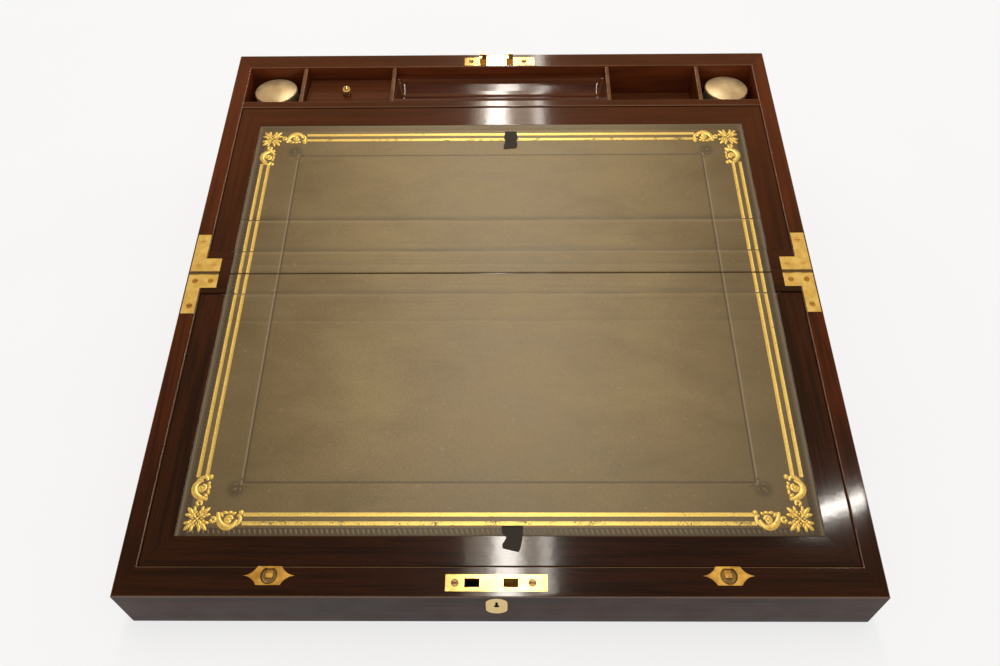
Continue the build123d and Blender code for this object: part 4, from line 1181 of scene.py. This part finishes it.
# ---------------------------------------------------------------------------------------------
# Writing surface
# ---------------------------------------------------------------------------------------------
@dataclass
class WritingSurface:
    """The leather on both halves, its tooling, and the crossbanding round it."""

    half: float = LEATHER_HALF
    far: float = LEATHER_FAR
    near: float = LEATHER_NEAR
    level: float = -1.0
    under: float = -1.8
    upper_fold: float = 20.0
    lower_fold: float = -18.0
    fold_reach: float = 2.4
    hinge_gap: float = 0.15
    joint_reach: float = 1.1
    joint_depth: float = 0.75
    creases: tuple[tuple[float, float, float], ...] = (
        (49.5, 1.1, 0.34),
        (20.0, 2.4, 0.30),
        (8.5, 2.0, 0.08),
        (-18.0, 1.8, 0.22),
        (-41.0, 1.5, 0.10),
    )
    edge_roll: float = 0.35
    fillets: tuple[float, float] = (0.9, 2.1)
    fillet_reach: float = 0.4
    tool_depth: float = 0.20
    rope: tuple[float, float] = (3.1, 5.9)
    near_rope: tuple[float, float] = (0.5, 4.9)
    rope_pitch: float = 3.2
    rope_depth: float = 0.16
    rope_lean: float = math.radians(22)
    rope_mark: float = 0.78
    blind_half: float = BLIND_HALF
    blind_far: float = BLIND_FAR
    blind_near: float = -BLIND_NEAR
    blind_width: float = 1.1
    sprig: tuple[tuple[float, float, float], ...] = (
        (45, 6.6, 1.0), (12, 4.8, 0.8), (78, 4.8, 0.8), (-60, 3.4, 0.7), (150, 3.4, 0.7),
    )
    gold_half: float = 192.0
    gold_far: float = 137.5
    gold_near: float = -187.2
    gold_space: float = 5.6
    gold_width: float = 2.5
    ornament: float = 27.0
    star_x: tuple[float, float] = (-187.6, 186.2)
    star_far: float = 133.6
    star_near: float = -184.3
    flap_half: float = 217.5
    flap_far: float = 168.18
    flap_near: float = -213.21
    upper_start: float = 20.15
    lower_start: float = -18.33

    def rim(self, x: float, run: float) -> float:
        """How far a place is inside the leather's edge."""
        return min(self.half - abs(x), self.far - run, self.near + run)

    def blind(self, x: float, run: float) -> float:
        """How far a place is from the blind-tooled rectangle."""
        across = abs(x) - self.blind_half
        far, near = run - self.blind_far, self.blind_near - run
        return abs(max(across, far, near))

    def height(self, x: float, run: float) -> float:
        """The leather's surface: creased, sunk where a tool was pressed in, and never quite flat.

        Args:
            x: Where across the slope, in millimetres.
            run: Where along it.

        Returns:
            The height above the plane of the rim.
        """
        rise = self.level
        rise += 0.045 * math.sin(x / 31 + run / 19) * math.sin(run / 13 - x / 47)
        for middle, width, depth in self.creases:
            rise -= depth * math.exp(-(((run - middle) / width) ** 2))
        edge = self.rim(x, run)
        if edge < self.edge_roll:
            rise -= self.tool_depth * (1 - edge / self.edge_roll)
        aside, close = min(self.half - abs(x), self.far - run), self.near + run
        for line in self.fillets:
            rise -= self.tool_depth * max(0.0, 1 - abs(aside - line) / self.fillet_reach)
        beside = self.rope[0] < aside < self.rope[1] and close > self.near_rope[0]
        before = self.near_rope[0] < close < self.near_rope[1] and aside > self.rope[0]
        if beside or before:
            rise -= self.rope_depth
        rise -= self.tool_depth * max(0.0, 1 - self.blind(x, run) / self.blind_width)
        joint = abs(run) - self.hinge_gap
        if joint < self.joint_reach:
            rise -= self.joint_depth * (1 - joint / self.joint_reach) ** 2
        return rise

    def bottom(self, x: float, run: float) -> float:
        """The leather's underside, flat on its board."""
        return self.under + 0.02

    def lines(self, places: Iterable[float], low: float, high: float, step: float) -> list[float]:
        """Grid lines at the places that the relief needs, with even ones between them.

        Args:
            places: The places that must have a line.
            low: Where the grid starts.
            high: Where it ends.
            step: The widest space left between lines.

        Returns:
            The places of all lines, in order.
        """
        fixed = sorted({round(p, 3) for p in (*places, low, high) if low <= p <= high})
        made = [fixed[0]]
        for place in fixed[1:]:
            if place - made[-1] < 0.04:
                continue
            parts = max(1, math.ceil((place - made[-1]) / step))
            start = made[-1]
            made += [start + (place - start) * k / parts for k in range(1, parts + 1)]
        return made

    def edge_marks(self) -> list[float]:
        """Distances from the leather's edge at which its relief turns."""
        marks = [self.edge_roll]
        for line in self.fillets:
            marks += [line - self.fillet_reach, line, line + self.fillet_reach]
        return marks + [self.rope[0], self.rope[0] + 0.15, self.rope[1] - 0.15, self.rope[1]]

    def columns(self) -> list[float]:
        """Grid lines from side to side."""
        half = [self.half - mark for mark in self.edge_marks()]
        half += [self.blind_half + k * self.blind_width for k in (-1, 0, 1)]
        half += self.strip_lines(self.gold_half) + self.strip_lines(self.gold_half - self.gold_space)
        return self.lines([s * x for x in half for s in (-1, 1)], -self.half, self.half, 9.0)

    def strip_lines(self, middle: float) -> list[float]:
        """Grid lines under one gold line."""
        return [middle + k * self.gold_width for k in (-0.5, -0.25, 0.0, 0.25, 0.5)]

    def rows(self, low: float, high: float) -> list[float]:
        """Grid lines from near to far.

        Args:
            low: Where the grid starts.
            high: Where it ends.

        Returns:
            Their places, in order.
        """
        marks = [self.far - mark for mark in self.edge_marks()]
        marks += [mark - self.near for mark in (0.35, 0.5, 0.65, 4.75, 4.9)]
        for middle, width, depth in self.creases:
            marks += [middle + k * width for k in (-2, -1.3, -0.8, -0.4, 0, 0.4, 0.8, 1.3, 2)]
        for fold in (self.upper_fold, self.lower_fold):
            marks += [fold + k * self.fold_reach / 4 for k in range(-4, 5)]
        for end in (-1, 1):
            marks += [end * (self.hinge_gap + out) for out in (0.15, 0.4, 0.7, self.joint_reach)]
        for middle in (self.blind_far, self.blind_near):
            marks += [middle + k * self.blind_width for k in (-1, 0, 1)]
        for end, middle in ((-1, self.gold_far), (1, self.gold_near)):
            marks += self.strip_lines(middle) + self.strip_lines(middle + end * self.gold_space)
        return self.lines(marks, low, high, 6.0)

    def rope_marks(self, bm: bmesh.types.BMesh, low: float, high: float) -> None:
        """Presses the slanting marks of the blind roll round the leather's edge.

        Args:
            bm: The mesh that it is added to.
            low: Where the leather starts, down the slope.
            high: Where it ends.
        """
        middle = sum(self.rope) / 2
        inset = self.half - middle
        places = []
        for k in range(1, int((high - low) / self.rope_pitch)):
            run = low + k * self.rope_pitch
            if self.rim(0, run) > middle + 2.0:
                places += [(-inset, run, math.pi / 2, 1.3, 0), (inset, run, math.pi / 2, 1.3, 0)]
        steps = int(inset / self.rope_pitch)
        run, length, raised = self.far - middle, 1.3, 0
        if high <= 0:
            run, length, raised = sum(self.near_rope) / 2 - self.near, 2.0, 1
        places += [(k * self.rope_pitch, run, 0.0, length, raised) for k in range(-steps, steps + 1)]
        for x, run, turn, length, raised in places:
            shape = (
                Matrix.Translation((x, run, self.level - 0.04))
                @ Matrix.Rotation(turn + self.rope_lean, 4, "Z")
                @ Matrix.Diagonal((self.rope_mark, length, 1, 1))
            )
            pad = bmesh.ops.create_cone(
                bm, cap_ends=True, segments=8, radius1=1.0, radius2=0.55, depth=0.34, matrix=shape
            )["verts"]
            for face in {face for vert in pad for face in vert.link_faces}:
                face.material_index = raised

    def blind_corners(self, bm: bmesh.types.BMesh, far: bool) -> None:
        """Presses a small sprig outside each corner of the blind rectangle.

        Args:
            bm: The mesh that it is added to.
            far: Whether the half is the far one.
        """
        run, end = (self.blind_far, 1) if far else (self.blind_near, -1)
        for side in (-1, 1):
            place = Matrix.Translation((side * self.blind_half, run, self.level - 0.12)) @ Matrix.Diagonal(
                (side, end, 1, 1)
            )
            for angle, reach, size in self.sprig:
                turn = math.radians(angle)
                centre = (reach * math.cos(turn), reach * math.sin(turn))
                before = len(bm.faces)
                petal(bm, place, centre, 2.3 * size, 1.35 * size, 0.65, turn, 8)
                bm.faces.ensure_lookup_table()
                for k in range(before, len(bm.faces)):
                    bm.faces[k].material_index = 1

    def leather(
        self, name: str, low: float, high: float, bodies: tuple[str, str], fold: float, nodes: Sequence[str]
    ) -> None:
        """Makes the leather of one half.

        Args:
            name: The piece's name.
            low: Where it starts, down the slope.
            high: Where it ends.
            bodies: Not used.
            fold: Not used.
            nodes: The CAD nodes that it stands for.
        """
        bm = bmesh.new()
        slab(bm, self.columns(), self.rows(low, high), self.height, self.bottom)
        self.rope_marks(bm, low, high)
        self.blind_corners(bm, high > 0)
        piece = settle(bm, name, [LEATHER, RAISED_LEATHER], None, replaces=nodes, sharp=60)
        self.bend(piece, bodies, fold)

    def bend(self, piece: bpy.types.Object, bodies: tuple[str, str], fold: float) -> None:
        """Bakes a piece's place into its mesh; the piece is not made to bend at its fold."""
        reach = math.copysign(self.fold_reach, fold)
        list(bodies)
        on_slope(0, fold - reach, self.level)
        on_slope(0, fold + reach, self.level)
        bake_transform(piece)

    def gold_line(
        self, bm: bmesh.types.BMesh, along: bool, middle: float, low: float, high: float, material: int
    ) -> None:
        """Lays one gold line, broken where the leather is creased.

        Args:
            bm: The mesh that it is added to.
            along: Whether it runs from near to far, or from side to side.
            middle: Where its middle lies.
            low: Where it starts.
            high: Where it ends.
            material: The number of its finish.
        """
        def ridge(across: float) -> float:
            """Two low ridges with a fine groove between them."""
            return 0.10 * abs(math.sin(math.tau * (across - middle) / self.gold_width * 0.5)) + 0.03

        strip = self.strip_lines(middle)
        if along:
            rows = [r for r in self.rows(low, high) if low <= r <= high]
            breaks = [c for c, width, depth in self.creases if depth > 0.2 and low < c < high]
            cuts = [low, *[b + s * 0.45 for b in sorted(breaks) for s in (-1, 1)], high]
            for start, end in zip(cuts[::2], cuts[1::2]):
                part = [start, *[r for r in rows if start + 0.05 < r < end - 0.05], end]
                slab(bm, strip, part, lambda x, r: self.height(x, r) + ridge(x),
                     lambda x, r: self.height(x, r) - 0.15, material)
        else:
            columns = [c for c in self.columns() if low < c < high]
            slab(bm, [low, *columns, high], strip, lambda x, r: self.height(x, r) + ridge(r),
                 lambda x, r: self.height(x, r) - 0.15, material)

    def star(self, bm: bmesh.types.BMesh, place: Matrix) -> None:
        """Presses the square flower of a corner, with a forked leaf towards each of its corners.

        Args:
            bm: The mesh that it is added to.
            place: Where the ornament's own plane lies.
        """
        place = place @ Matrix.Diagonal((0.88, 0.90, 1, 1))

        def leaf(turn: float, out: float, length: float, width: float, aim: float) -> None:
            """One petal at a distance from the middle, aimed its own way."""
            centre = (out * math.cos(turn), out * math.sin(turn))
            petal(bm, place, centre, length, width, 0.30 + 0.16 * width, aim, 8)

        for k in range(4):
            turn = math.radians(45 + 90 * k)
            leaf(turn, 7.6, 3.9, 1.6, turn)
            leaf(turn, 3.4, 2.6, 1.2, turn)
            for lean in (-1, 1):
                leaf(turn + lean * math.radians(23), 7.3, 2.5, 1.3, turn + lean * math.radians(36))
                leaf(turn + lean * math.radians(26), 4.7, 1.5, 0.95, turn + lean * math.radians(70))
            straight = turn + math.radians(45)
            leaf(straight, 3.2, 1.2, 0.7, straight)
        petal(bm, place, (0, 0), 1.2, 1.2, 0.6)

    def scroll(self, bm: bmesh.types.BMesh, place: Matrix) -> None:
        """Presses the scroll that leads from a corner flower to the gold lines.

        Args:
            bm: The mesh that it is added to.
            place: Where the ornament's own plane lies.
        """
        stroke(bm, [(8.3, 0.6), (9.2, 2.2), (11.0, 2.0), (11.6, 0.2), (10.4, -1.2), (8.8, -0.6)],
               [0.85] * 6, place)
        stroke(bm, [(12.4, -4.2), (12.8, -1.8), (14.2, 2.4), (17.2, 5.2), (21.0, 5.6), (24.0, 3.6),
                    (25.0, 0.6)], [0.8, 1.3, 1.8, 2.0, 1.9, 1.4, 0.9], place)
        stroke(bm, [(23.6, 4.4), (26.2, 3.0), (27.2, 0.2), (26.6, -1.8), (24.8, -2.2)],
               [1.0, 1.25, 1.2, 1.0, 0.7], place)
        petal(bm, place, (27.2, -3.9), 1.8, 1.8, 0.8)
        stroke(bm, [(22.2, 0.4), (21.4, -1.6), (19.2, -1.6), (17.8, 0.4), (18.6, 2.6), (20.6, 2.4),
                    (20.8, 0.6)], [0.8, 1.0, 1.1, 1.2, 1.15, 1.0, 0.9], place)
        petal(bm, place, (19.7, 0.6), 1.5, 1.5, 0.8)
        for centre, reach, turn in (((15.0, -2.6), 2.0, 50), ((17.2, -3.9), 1.9, 12), ((20.2, -4.0), 1.9, -6),
                                    ((22.8, -3.4), 1.5, -24)):
            petal(bm, place, centre, reach, 1.15, 0.6, math.radians(turn), 8)

    def ornaments(self, bm: bmesh.types.BMesh, far: bool) -> None:
        """Presses the corners of one half: a flower and two scrolls in each.

        Args:
            bm: The mesh that it is added to.
            far: Whether the half is the far one.
        """
        end = 1 if far else -1
        run = self.star_far if far else self.star_near
        for side in (-1, 1):
            corner = Matrix.Translation((self.star_x[side > 0], run, self.level + 0.02))
            self.star(bm, corner)
            self.scroll(bm, corner @ Matrix.Diagonal((-side, end, 1, 1)))
            self.scroll(bm, corner @ Matrix(((0, side, 0, 0), (-end, 0, 0, 0), (0, 0, 1, 0), (0, 0, 0, 1))))

    def gold(self, name: str, low: float, high: float, bodies: tuple[str, str], fold: float) -> None:
        """Makes the gold tooling of one half.

        Args:
            name: The piece's name.
            low: Where the leather starts, down the slope.
            high: Where it ends.
            bodies: Not used.
            fold: Not used.
        """
        bm = bmesh.new()
        far = high > 0
        end = 1 if far else -1
        stop = (self.star_far if far else self.star_near) - end * self.ornament
        inner, outer = sorted((math.copysign(0.5, end), stop))
        for side in (-1, 1):
            for middle in (self.gold_half, self.gold_half - self.gold_space):
                self.gold_line(bm, True, side * middle, inner, outer, 0)
        reach = self.star_x[1] - self.ornament
        outer_run = self.gold_far if far else self.gold_near
        self.gold_line(bm, False, outer_run, -reach, reach, 0 if far else 1)
        self.gold_line(bm, False, outer_run - end * self.gold_space, -reach, reach, 1 if far else 0)
        self.ornaments(bm, far)
        piece = settle(bm, name, [GOLD, RUBBED_GOLD], None, sharp=70)
        self.bend(piece, bodies, fold)

    def strip(
        self, bm: bmesh.types.BMesh, corners: Sequence[tuple[float, float]], mitres: Sequence[int]
    ) -> None:
        """Adds one strip of crossbanding.

        Args:
            bm: The mesh that it is added to.
            corners: Its outline on the slope.
            mitres: Which of its sides, counted from the first corner, are mitres and stay sharp.
        """
        low = [bm.verts.new((x, run, self.under)) for x, run in corners]
        face = bm.faces.new(low)
        raised = bmesh.ops.extrude_face_region(bm, geom=[face])["geom"]
        lifted = [v for v in raised if isinstance(v, bmesh.types.BMVert)]
        for vert in lifted:
            vert.co.z = self.level
        ends = [(round(x, 3), round(run, 3)) for x, run in corners]
        sharp = [{ends[m], ends[(m + 1) % len(ends)]} for m in mitres]
        edges = [
            e
            for e in bm.edges
            if e.verts[0] in lifted
            and e.verts[1] in lifted
            and {(round(v.co.x, 3), round(v.co.y, 3)) for v in e.verts} not in sharp
        ]
        bmesh.ops.bevel(
            bm, geom=edges, offset=0.4, offset_type="OFFSET", segments=2, profile=0.5,
            affect="EDGES", clamp_overlap=True, material=-1,
        )

    def borders(self) -> None:
        """Lays the crossbanding of both flaps, with mitred corners."""
        for body, start, inner, outer in (
            ("upper_flap", self.upper_start, self.far, self.flap_far),
            ("lower_flap", self.lower_start, -self.near, self.flap_near),
        ):
            for side, word in ((-1, "left"), (1, "right")):
                bm = bmesh.new()
                a, b = side * self.half, side * self.flap_half
                self.strip(bm, [(a, start), (a, inner), (b, outer), (b, start)], [1])
                settle(bm, f"{body}_banding_{word}", [ROSEWOOD_ALONG], body, replaces=[f"{body}_border"])
            bm = bmesh.new()
            self.strip(
                bm,
                [(-self.half, inner), (self.half, inner), (self.flap_half, outer), (-self.flap_half, outer)],
                [1, 3],
            )
            settle(bm, f"{body}_banding_end", [ROSEWOOD_ACROSS], body, replaces=[f"{body}_border"])

    def build(self) -> None:
        """Makes the leather, its gold and the crossbanding."""
        upper, lower = ("base", "upper_flap"), ("lid", "lower_flap")
        self.leather("upper_leather", self.hinge_gap, self.far, upper, self.upper_fold,
                     ["base_band_leather", "upper_flap_leather"])
        self.leather("lower_leather", -self.near, -self.hinge_gap, lower, self.lower_fold,
                     ["lid_band_leather", "lower_flap_leather"])
        self.gold("upper_gold", self.hinge_gap, self.far, upper, self.upper_fold)
        self.gold("lower_gold", -self.near, -self.hinge_gap, lower, self.lower_fold)
        self.borders()


# ---------------------------------------------------------------------------------------------
# Compartments and what lies in them
# ---------------------------------------------------------------------------------------------
@dataclass
class Compartments:
    """The dividers, floors, pen tray and covered cell behind the writing surface."""

    knob_x: float = -132.8
    knob_y: float = 190.6
    cover_top: float = 105.5
    knob_radius: float = 4.0
    divider_edge: float = 0.5
    wall_edge: float = 3.4
    tray_half: float = 90.35
    tray_near: float = 173.7
    tray_far: float = 213.3
    tray_foot: float = 90.5
    tray_top: float = 110.0
    trough_flat: float = 3.0
    trough_width: float = 30.0
    trough_radius: float = 18.5
    trough_half: float = 89.8
    trough_end: float = 7.0

    def top_edge(self, first: Vector, second: Vector) -> bool:
        """Whether an edge runs along the top of a divider."""
        return (second - first).length > 20 and all(-1.3 < v.z < -0.7 for v in (first, second))

    def inner_edge(self, first: Vector, second: Vector) -> bool:
        """Whether an edge is the far one at the top of the wall in front of the compartments."""
        ends = [SLOPE @ end for end in (first, second)]
        return (second - first).length > 20 and all(
            end.z > -1.6 and low.y > self.tray_near - 1.2 for end, low in zip((first, second), ends)
        )

    def build(self) -> None:
        """Gives each board its wood, and shapes the pen tray and the knob."""
        bm = copied("tray_front_wall")
        soften(bm, self.inner_edge, self.wall_edge)
        rub_and_highlight_edges(bm, 3.8)
        settle(bm, "tray_front_wall_polished", [ROSEWOOD_ACROSS, RUBBED_AND_HIGHLIT_EDGE], "base",
               replaces=["tray_front_wall"], outward=False)
        for word in ("inkwell_left", "tray_left", "tray_right", "inkwell_right"):
            node = f"divider_{word}"
            bm = copied(node)
            soften(bm, self.top_edge, self.divider_edge)
            # The whole top of a divider takes the lighter finish: painted light on its lit top, with wear at
            # its edges.
            rub_and_highlight_edges(bm, 1.9, 1.01)
            settle(bm, f"{node}_polished", [FITTED_ALONG, RUBBED_AND_HIGHLIT_EDGE], "base",
                   replaces=[node], outward=False)
        self.pen_tray()
        bm = copied("cover_board")
        settle(bm, "cover_polished", [DULL_ACROSS], "cover", replaces=["cover_board"], outward=False)
        dress(DULL_ACROSS, "deep_floors", "shallow_floor")
        dress(CARCASS_ALONG, "cover_cleats")
        self.knob()

    def hollow(self, x: float, y: float) -> float:
        """Height of the pen tray's upper face: a long trough with steep round ends."""
        aside = (y - self.tray_near - self.trough_flat) / self.trough_width - 0.5
        if abs(aside) >= 0.5:
            return self.tray_top
        centre = math.sqrt(self.trough_radius**2 - (self.trough_width / 2) ** 2)
        depth = math.sqrt(self.trough_radius**2 - (aside * self.trough_width) ** 2) - centre
        past = max(0.0, abs(x) - self.trough_half + self.trough_end) / self.trough_end
        return self.tray_top - depth * math.sqrt(max(0.0, 1 - past**2))

    def pen_tray(self) -> None:
        """Shapes the pen tray."""
        ends = [self.trough_half - self.trough_end * (1 - math.sin(k / 12 * math.pi / 2)) for k in range(13)]
        columns = sorted([s * x for x in (*ends, 20.0, 50.0, self.tray_half) for s in (-1, 1)] + [0.0])
        low = self.tray_near + self.trough_flat
        curve = [low + self.trough_width * (1 - math.cos(k / 20 * math.pi)) / 2 for k in range(21)]
        rows = [self.tray_near, *curve, self.tray_far]
        bm = bmesh.new()
        slab(bm, columns, rows, self.hollow, lambda x, y: self.tray_foot)
        settle(bm, "pen_tray_polished", [FITTED_ACROSS], "pen_tray", LEVEL, ["pen_tray"], sharp=32)

    def knob(self) -> None:
        """Turns the ball knob with its neck and foot."""
        foot = self.cover_top
        ball = foot + self.knob_radius
        profile = [(0.0, foot - 3.0), (1.0, foot - 3.0), (1.0, foot), (2.5, foot), (2.6, foot + 0.15),
                   (2.5, foot + 0.4)]
        for k in range(1, 13):
            angle = -math.pi / 2 + 0.66 + (math.pi - 0.66) * k / 12
            out = max(0.0, self.knob_radius * math.cos(angle))
            profile.append((out, ball + self.knob_radius * math.sin(angle)))
        bm = bmesh.new()
        spun(bm, profile, (self.knob_x, self.knob_y), 32)
        settle(bm, "cover_knob_turned", [BRASS], "cover", LEVEL, ["cover_knob"], sharp=50)


@dataclass
class Inkwells:
    """The two glass inkwells with their silvered caps."""

    x: float = 194.875
    y: float = 193.5
    foot: float = 96.4
    radius: float = 18.2
    shoulder: float = 108.0
    top: float = 110.6
    edge: float = 1.3
    bore: float = 13.9
    bore_top: float = 104.5

    def build(self) -> None:
        """Turns the caps and gives the bottles their glass."""
        for side, word in ((-1, "left"), (1, "right")):
            r, foot = self.radius, self.foot
            profile = [
                (0.0, self.bore_top), (self.bore, self.bore_top), (self.bore, foot + 0.3),
                (self.bore + 0.3, foot), (r - 0.6, foot), (r - 0.2, foot + 0.3), (r - 0.15, foot + 2.0),
                (r, self.shoulder - self.edge - 1.0),
            ]
            for k in range(7):
                turn = k / 6 * math.pi / 2
                out, up = self.edge * (1 - math.cos(turn)), self.edge * (1 - math.sin(turn))
                profile.append((r - out, self.shoulder - up))
            for k in range(1, 11):
                out = (r - self.edge) * (1 - k / 10)
                profile.append((out, self.top - (self.top - self.shoulder) * (out / (r - self.edge)) ** 2))
            bm = bmesh.new()
            spun(bm, profile, (side * self.x, self.y), 64)
            settle(bm, f"inkwell_cap_{word}_turned", [SILVER], f"cap_{word}", LEVEL,
                   [f"inkwell_cap_{word}"], sharp=55)
            dress(GLASS, f"inkwell_{word}")
            dress(SEAL, f"inkwell_seal_{word}")


# ---------------------------------------------------------------------------------------------
# Brasswork
# ---------------------------------------------------------------------------------------------
@dataclass
class Brasswork:
    """The hinges, the lock with its plates, and the two catches."""

    plate_edge: float = 0.16
    catch_edge: float = 0.35
    gap_shade_width: float = 0.42
    catch_x: float = 137.3
    catch_run: float = -219.05
    dish_radius: float = 4.3
    dish_depth: float = 1.1
    dish_lip: float = 0.8
    wall_reach: float = 0.12

    def flush(self, first: Vector, second: Vector) -> bool:
        """Whether an edge lies in the plane of the rim."""
        return all(abs(v.z) < 0.02 for v in (first, second))

    def out(self, spot: Vector) -> float:
        """How far a place is from the middle of its catch's dish."""
        return math.hypot(abs(spot.x) - self.catch_x, spot.y - self.catch_run)

    def edge(self, first: Vector, second: Vector) -> bool:
        """Whether an edge is an outer edge of a plate."""
        mouth = all(self.out(spot) < self.dish_radius + 1.0 for spot in (first, second))
        return self.flush(first, second) and not mouth

    def hollow(self, bm: bmesh.types.BMesh) -> None:
        """Turns the straight wall of a catch's dish into a round lip, and leaves the dish dull.

        Args:
            bm: The catch's plate, in millimetres on the slope.
        """
        wall = [
            edge
            for edge in bm.edges
            if all(abs(self.out(v.co) - self.dish_radius) < self.wall_reach for v in edge.verts)
            and abs(edge.verts[0].co.z - edge.verts[1].co.z) > self.dish_depth - 0.1
            and min(v.co.z for v in edge.verts) > -self.dish_depth - 0.05
        ]
        bmesh.ops.subdivide_edges(bm, edges=wall, cuts=4, use_grid_fill=True)
        for vert in bm.verts:
            out = self.out(vert.co)
            if abs(out - self.dish_radius) < self.wall_reach and vert.co.z > -self.dish_depth - 0.05:
                deep = min(1.0, -vert.co.z / self.dish_depth)
                wide = self.dish_radius + self.dish_lip * (math.cos(deep * math.pi / 2) * 1.9 - 0.9)
                side = math.copysign(self.catch_x, vert.co.x)
                vert.co.x = side + (vert.co.x - side) * wide / out
                vert.co.y = self.catch_run + (vert.co.y - self.catch_run) * wide / out
        bm.normal_update()
        for face in bm.faces:
            middle = face.calc_center_median()
            if self.out(middle) < self.dish_radius + 0.2 and middle.z < -0.5 * self.dish_depth:
                face.material_index = 2

    def tarnish(self, bm: bmesh.types.BMesh) -> None:
        """Lets the walls of slots and dishes darken, where no cloth reaches."""
        bm.normal_update()
        for face in bm.faces:
            if face.calc_center_median().z < -0.3 and face.normal.z < 0.6:
                face.material_index = 1

    def build(self) -> None:
        """Softens the plates' edges and gives the metal its finish."""
        for half in ("base", "lid"):
            for word in ("left", "right"):
                node = f"hinge_leaf_{half}_{word}"
                bm = copied(node)
                soften(bm, self.flush, self.plate_edge)
                settle(bm, f"{node}_worn", [HINGE_BRASS], half, replaces=[node], outward=False)
        for node, body in (("lock_plate", "lid"), ("catch_plate_left", "lid"), ("catch_plate_right", "lid")):
            bm = copied(node)
            soften(bm, self.edge, self.plate_edge if node == "lock_plate" else self.catch_edge)
            self.tarnish(bm)
            finish = PLATE_BRASS
            if node != "lock_plate":
                self.hollow(bm)
                finish = CATCH_BRASS
            settle(bm, f"{node}_worn", [finish, TARNISH_AND_SHADE_BRASS, DISH_BRASS], body, replaces=[node],
                   sharp=30, outward=False)
        bm = copied("link_plate")
        soften(bm, self.flush, self.plate_edge)
        settle(bm, "link_plate_worn", [BRASS], "base", replaces=["link_plate"], outward=False)
        dress(HINGE_BRASS, "hinge_pins")
        dress(BOLT_BRASS, "lock_bolt", "lock_case")
        dress(BRASS, "keyhole_escutcheon")
        dress(FLUSH_SCREW, "base_hinge_screws")
        dress(DULL_SCREW, "lid_hinge_screws")
        for word in ("left", "right"):
            node = f"catch_bolt_{word}"
            bm = copied(node)
            soften(bm, lambda first, second: min(first.z, second.z) > -0.5, 0.35)
            self.tarnish(bm)
            settle(bm, f"{node}_worn", [CATCH_BRASS, TARNISH_AND_SHADE_BRASS], f"catch_{word}",
                   replaces=[node], outward=False)
        for node, body in (("link_screws", "base"), ("lock_screws", "lid")):
            bm = copied(node)
            # A dark ring is painted round the top of each head: painted shade for the gap round it.
            heads = [face for face in bm.faces if face.normal.z > 0.99 and face.calc_center_median().z > -0.1]
            gap_shade_ring = bmesh.ops.inset_region(bm, faces=heads, thickness=self.gap_shade_width, use_even_offset=True)
            for face in gap_shade_ring["faces"]:
                face.material_index = 1
            settle(bm, f"{node}_worn", [SCREW_BRASS, TARNISH_AND_SHADE_BRASS], body, replaces=[node], outward=False)


@dataclass
class Ribbon:
    """A black tab that lifts a flap, its end cut and creased out of square."""

    name: str
    node: str
    body: str
    leather: str
    x: float
    start: float
    end: float
    left: tuple[float, ...]
    right: tuple[float, ...]
    skew: float = 0.0
    curl: float = 0.3
    thick: float = 0.3
    steps: int = 18

    def side(self, places: Sequence[float], share: float) -> float:
        """Where one edge lies, part of the way along the tab."""
        spot = share * (len(places) - 1)
        first = min(int(spot), len(places) - 2)
        return places[first] + (places[first + 1] - places[first]) * (spot - first)

    def top(self, across: float, share: float) -> float:
        """Height of the ribbon's upper face, from its left edge to its right and along it."""
        fold = 0.22 * math.exp(-(((share - 0.55 + 0.15 * across) / 0.10) ** 2))
        return -0.68 + self.curl * share * share + fold + 0.08 * math.sin(5 * across + 4 * share) * share

    def build(self) -> None:
        """Cuts the tab."""
        bm = bmesh.new()
        rows = [k / self.steps for k in range(self.steps + 1)]
        columns = [k / 10 for k in range(11)]
        slab(bm, columns, rows, self.top, lambda a, t: self.top(a, t) - self.thick)
        for vert in bm.verts:
            across, share = vert.co.x, vert.co.y
            low, high = self.side(self.left, share), self.side(self.right, share)
            vert.co.x = self.x + low + (high - low) * across
            vert.co.y = self.start + (self.end - self.start) * share + self.skew * (across - 0.5) * share
        width = sum(self.right) / len(self.right) - sum(self.left) / len(self.left)
        piece = settle(bm, self.name, [RIBBON], self.body, sharp=60)
        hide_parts(self.node)


NEAR_RIBBON = Ribbon(
    "lower_ribbon_tab", "lower_flap_tab", "lower_flap", "lower_leather", 8.6, -188.6, -203.6,
    (-6.6, -6.4, -6.2, -3.6, -4.6, -6.3, -5.9), (6.6, 6.5, 6.3, 6.0, 5.6, 5.0, 3.9), -2.2,
)
FAR_RIBBON = Ribbon(
    "upper_ribbon_tab", "upper_flap_tab", "upper_flap", "upper_leather", 8.6, 140.6, 122.0,
    (-4.6, -5.0, -5.4, -4.4, -5.6, -5.8), (4.6, 5.2, 5.8, 4.8, 5.6, 4.6), 1.4,
)


def main() -> None:
    """Builds the scene, one sub-assembly after another."""
    logging.basicConfig(level=logging.INFO, format="%(message)s")
    for assembly in (Studio(), Carcass(), WritingSurface(), Compartments(), Inkwells(), Brasswork(),
                     NEAR_RIBBON, FAR_RIBBON):
        assembly.build()
        LOG.info("%s built", type(assembly).__name__)


if __name__ == "__main__":
    main()
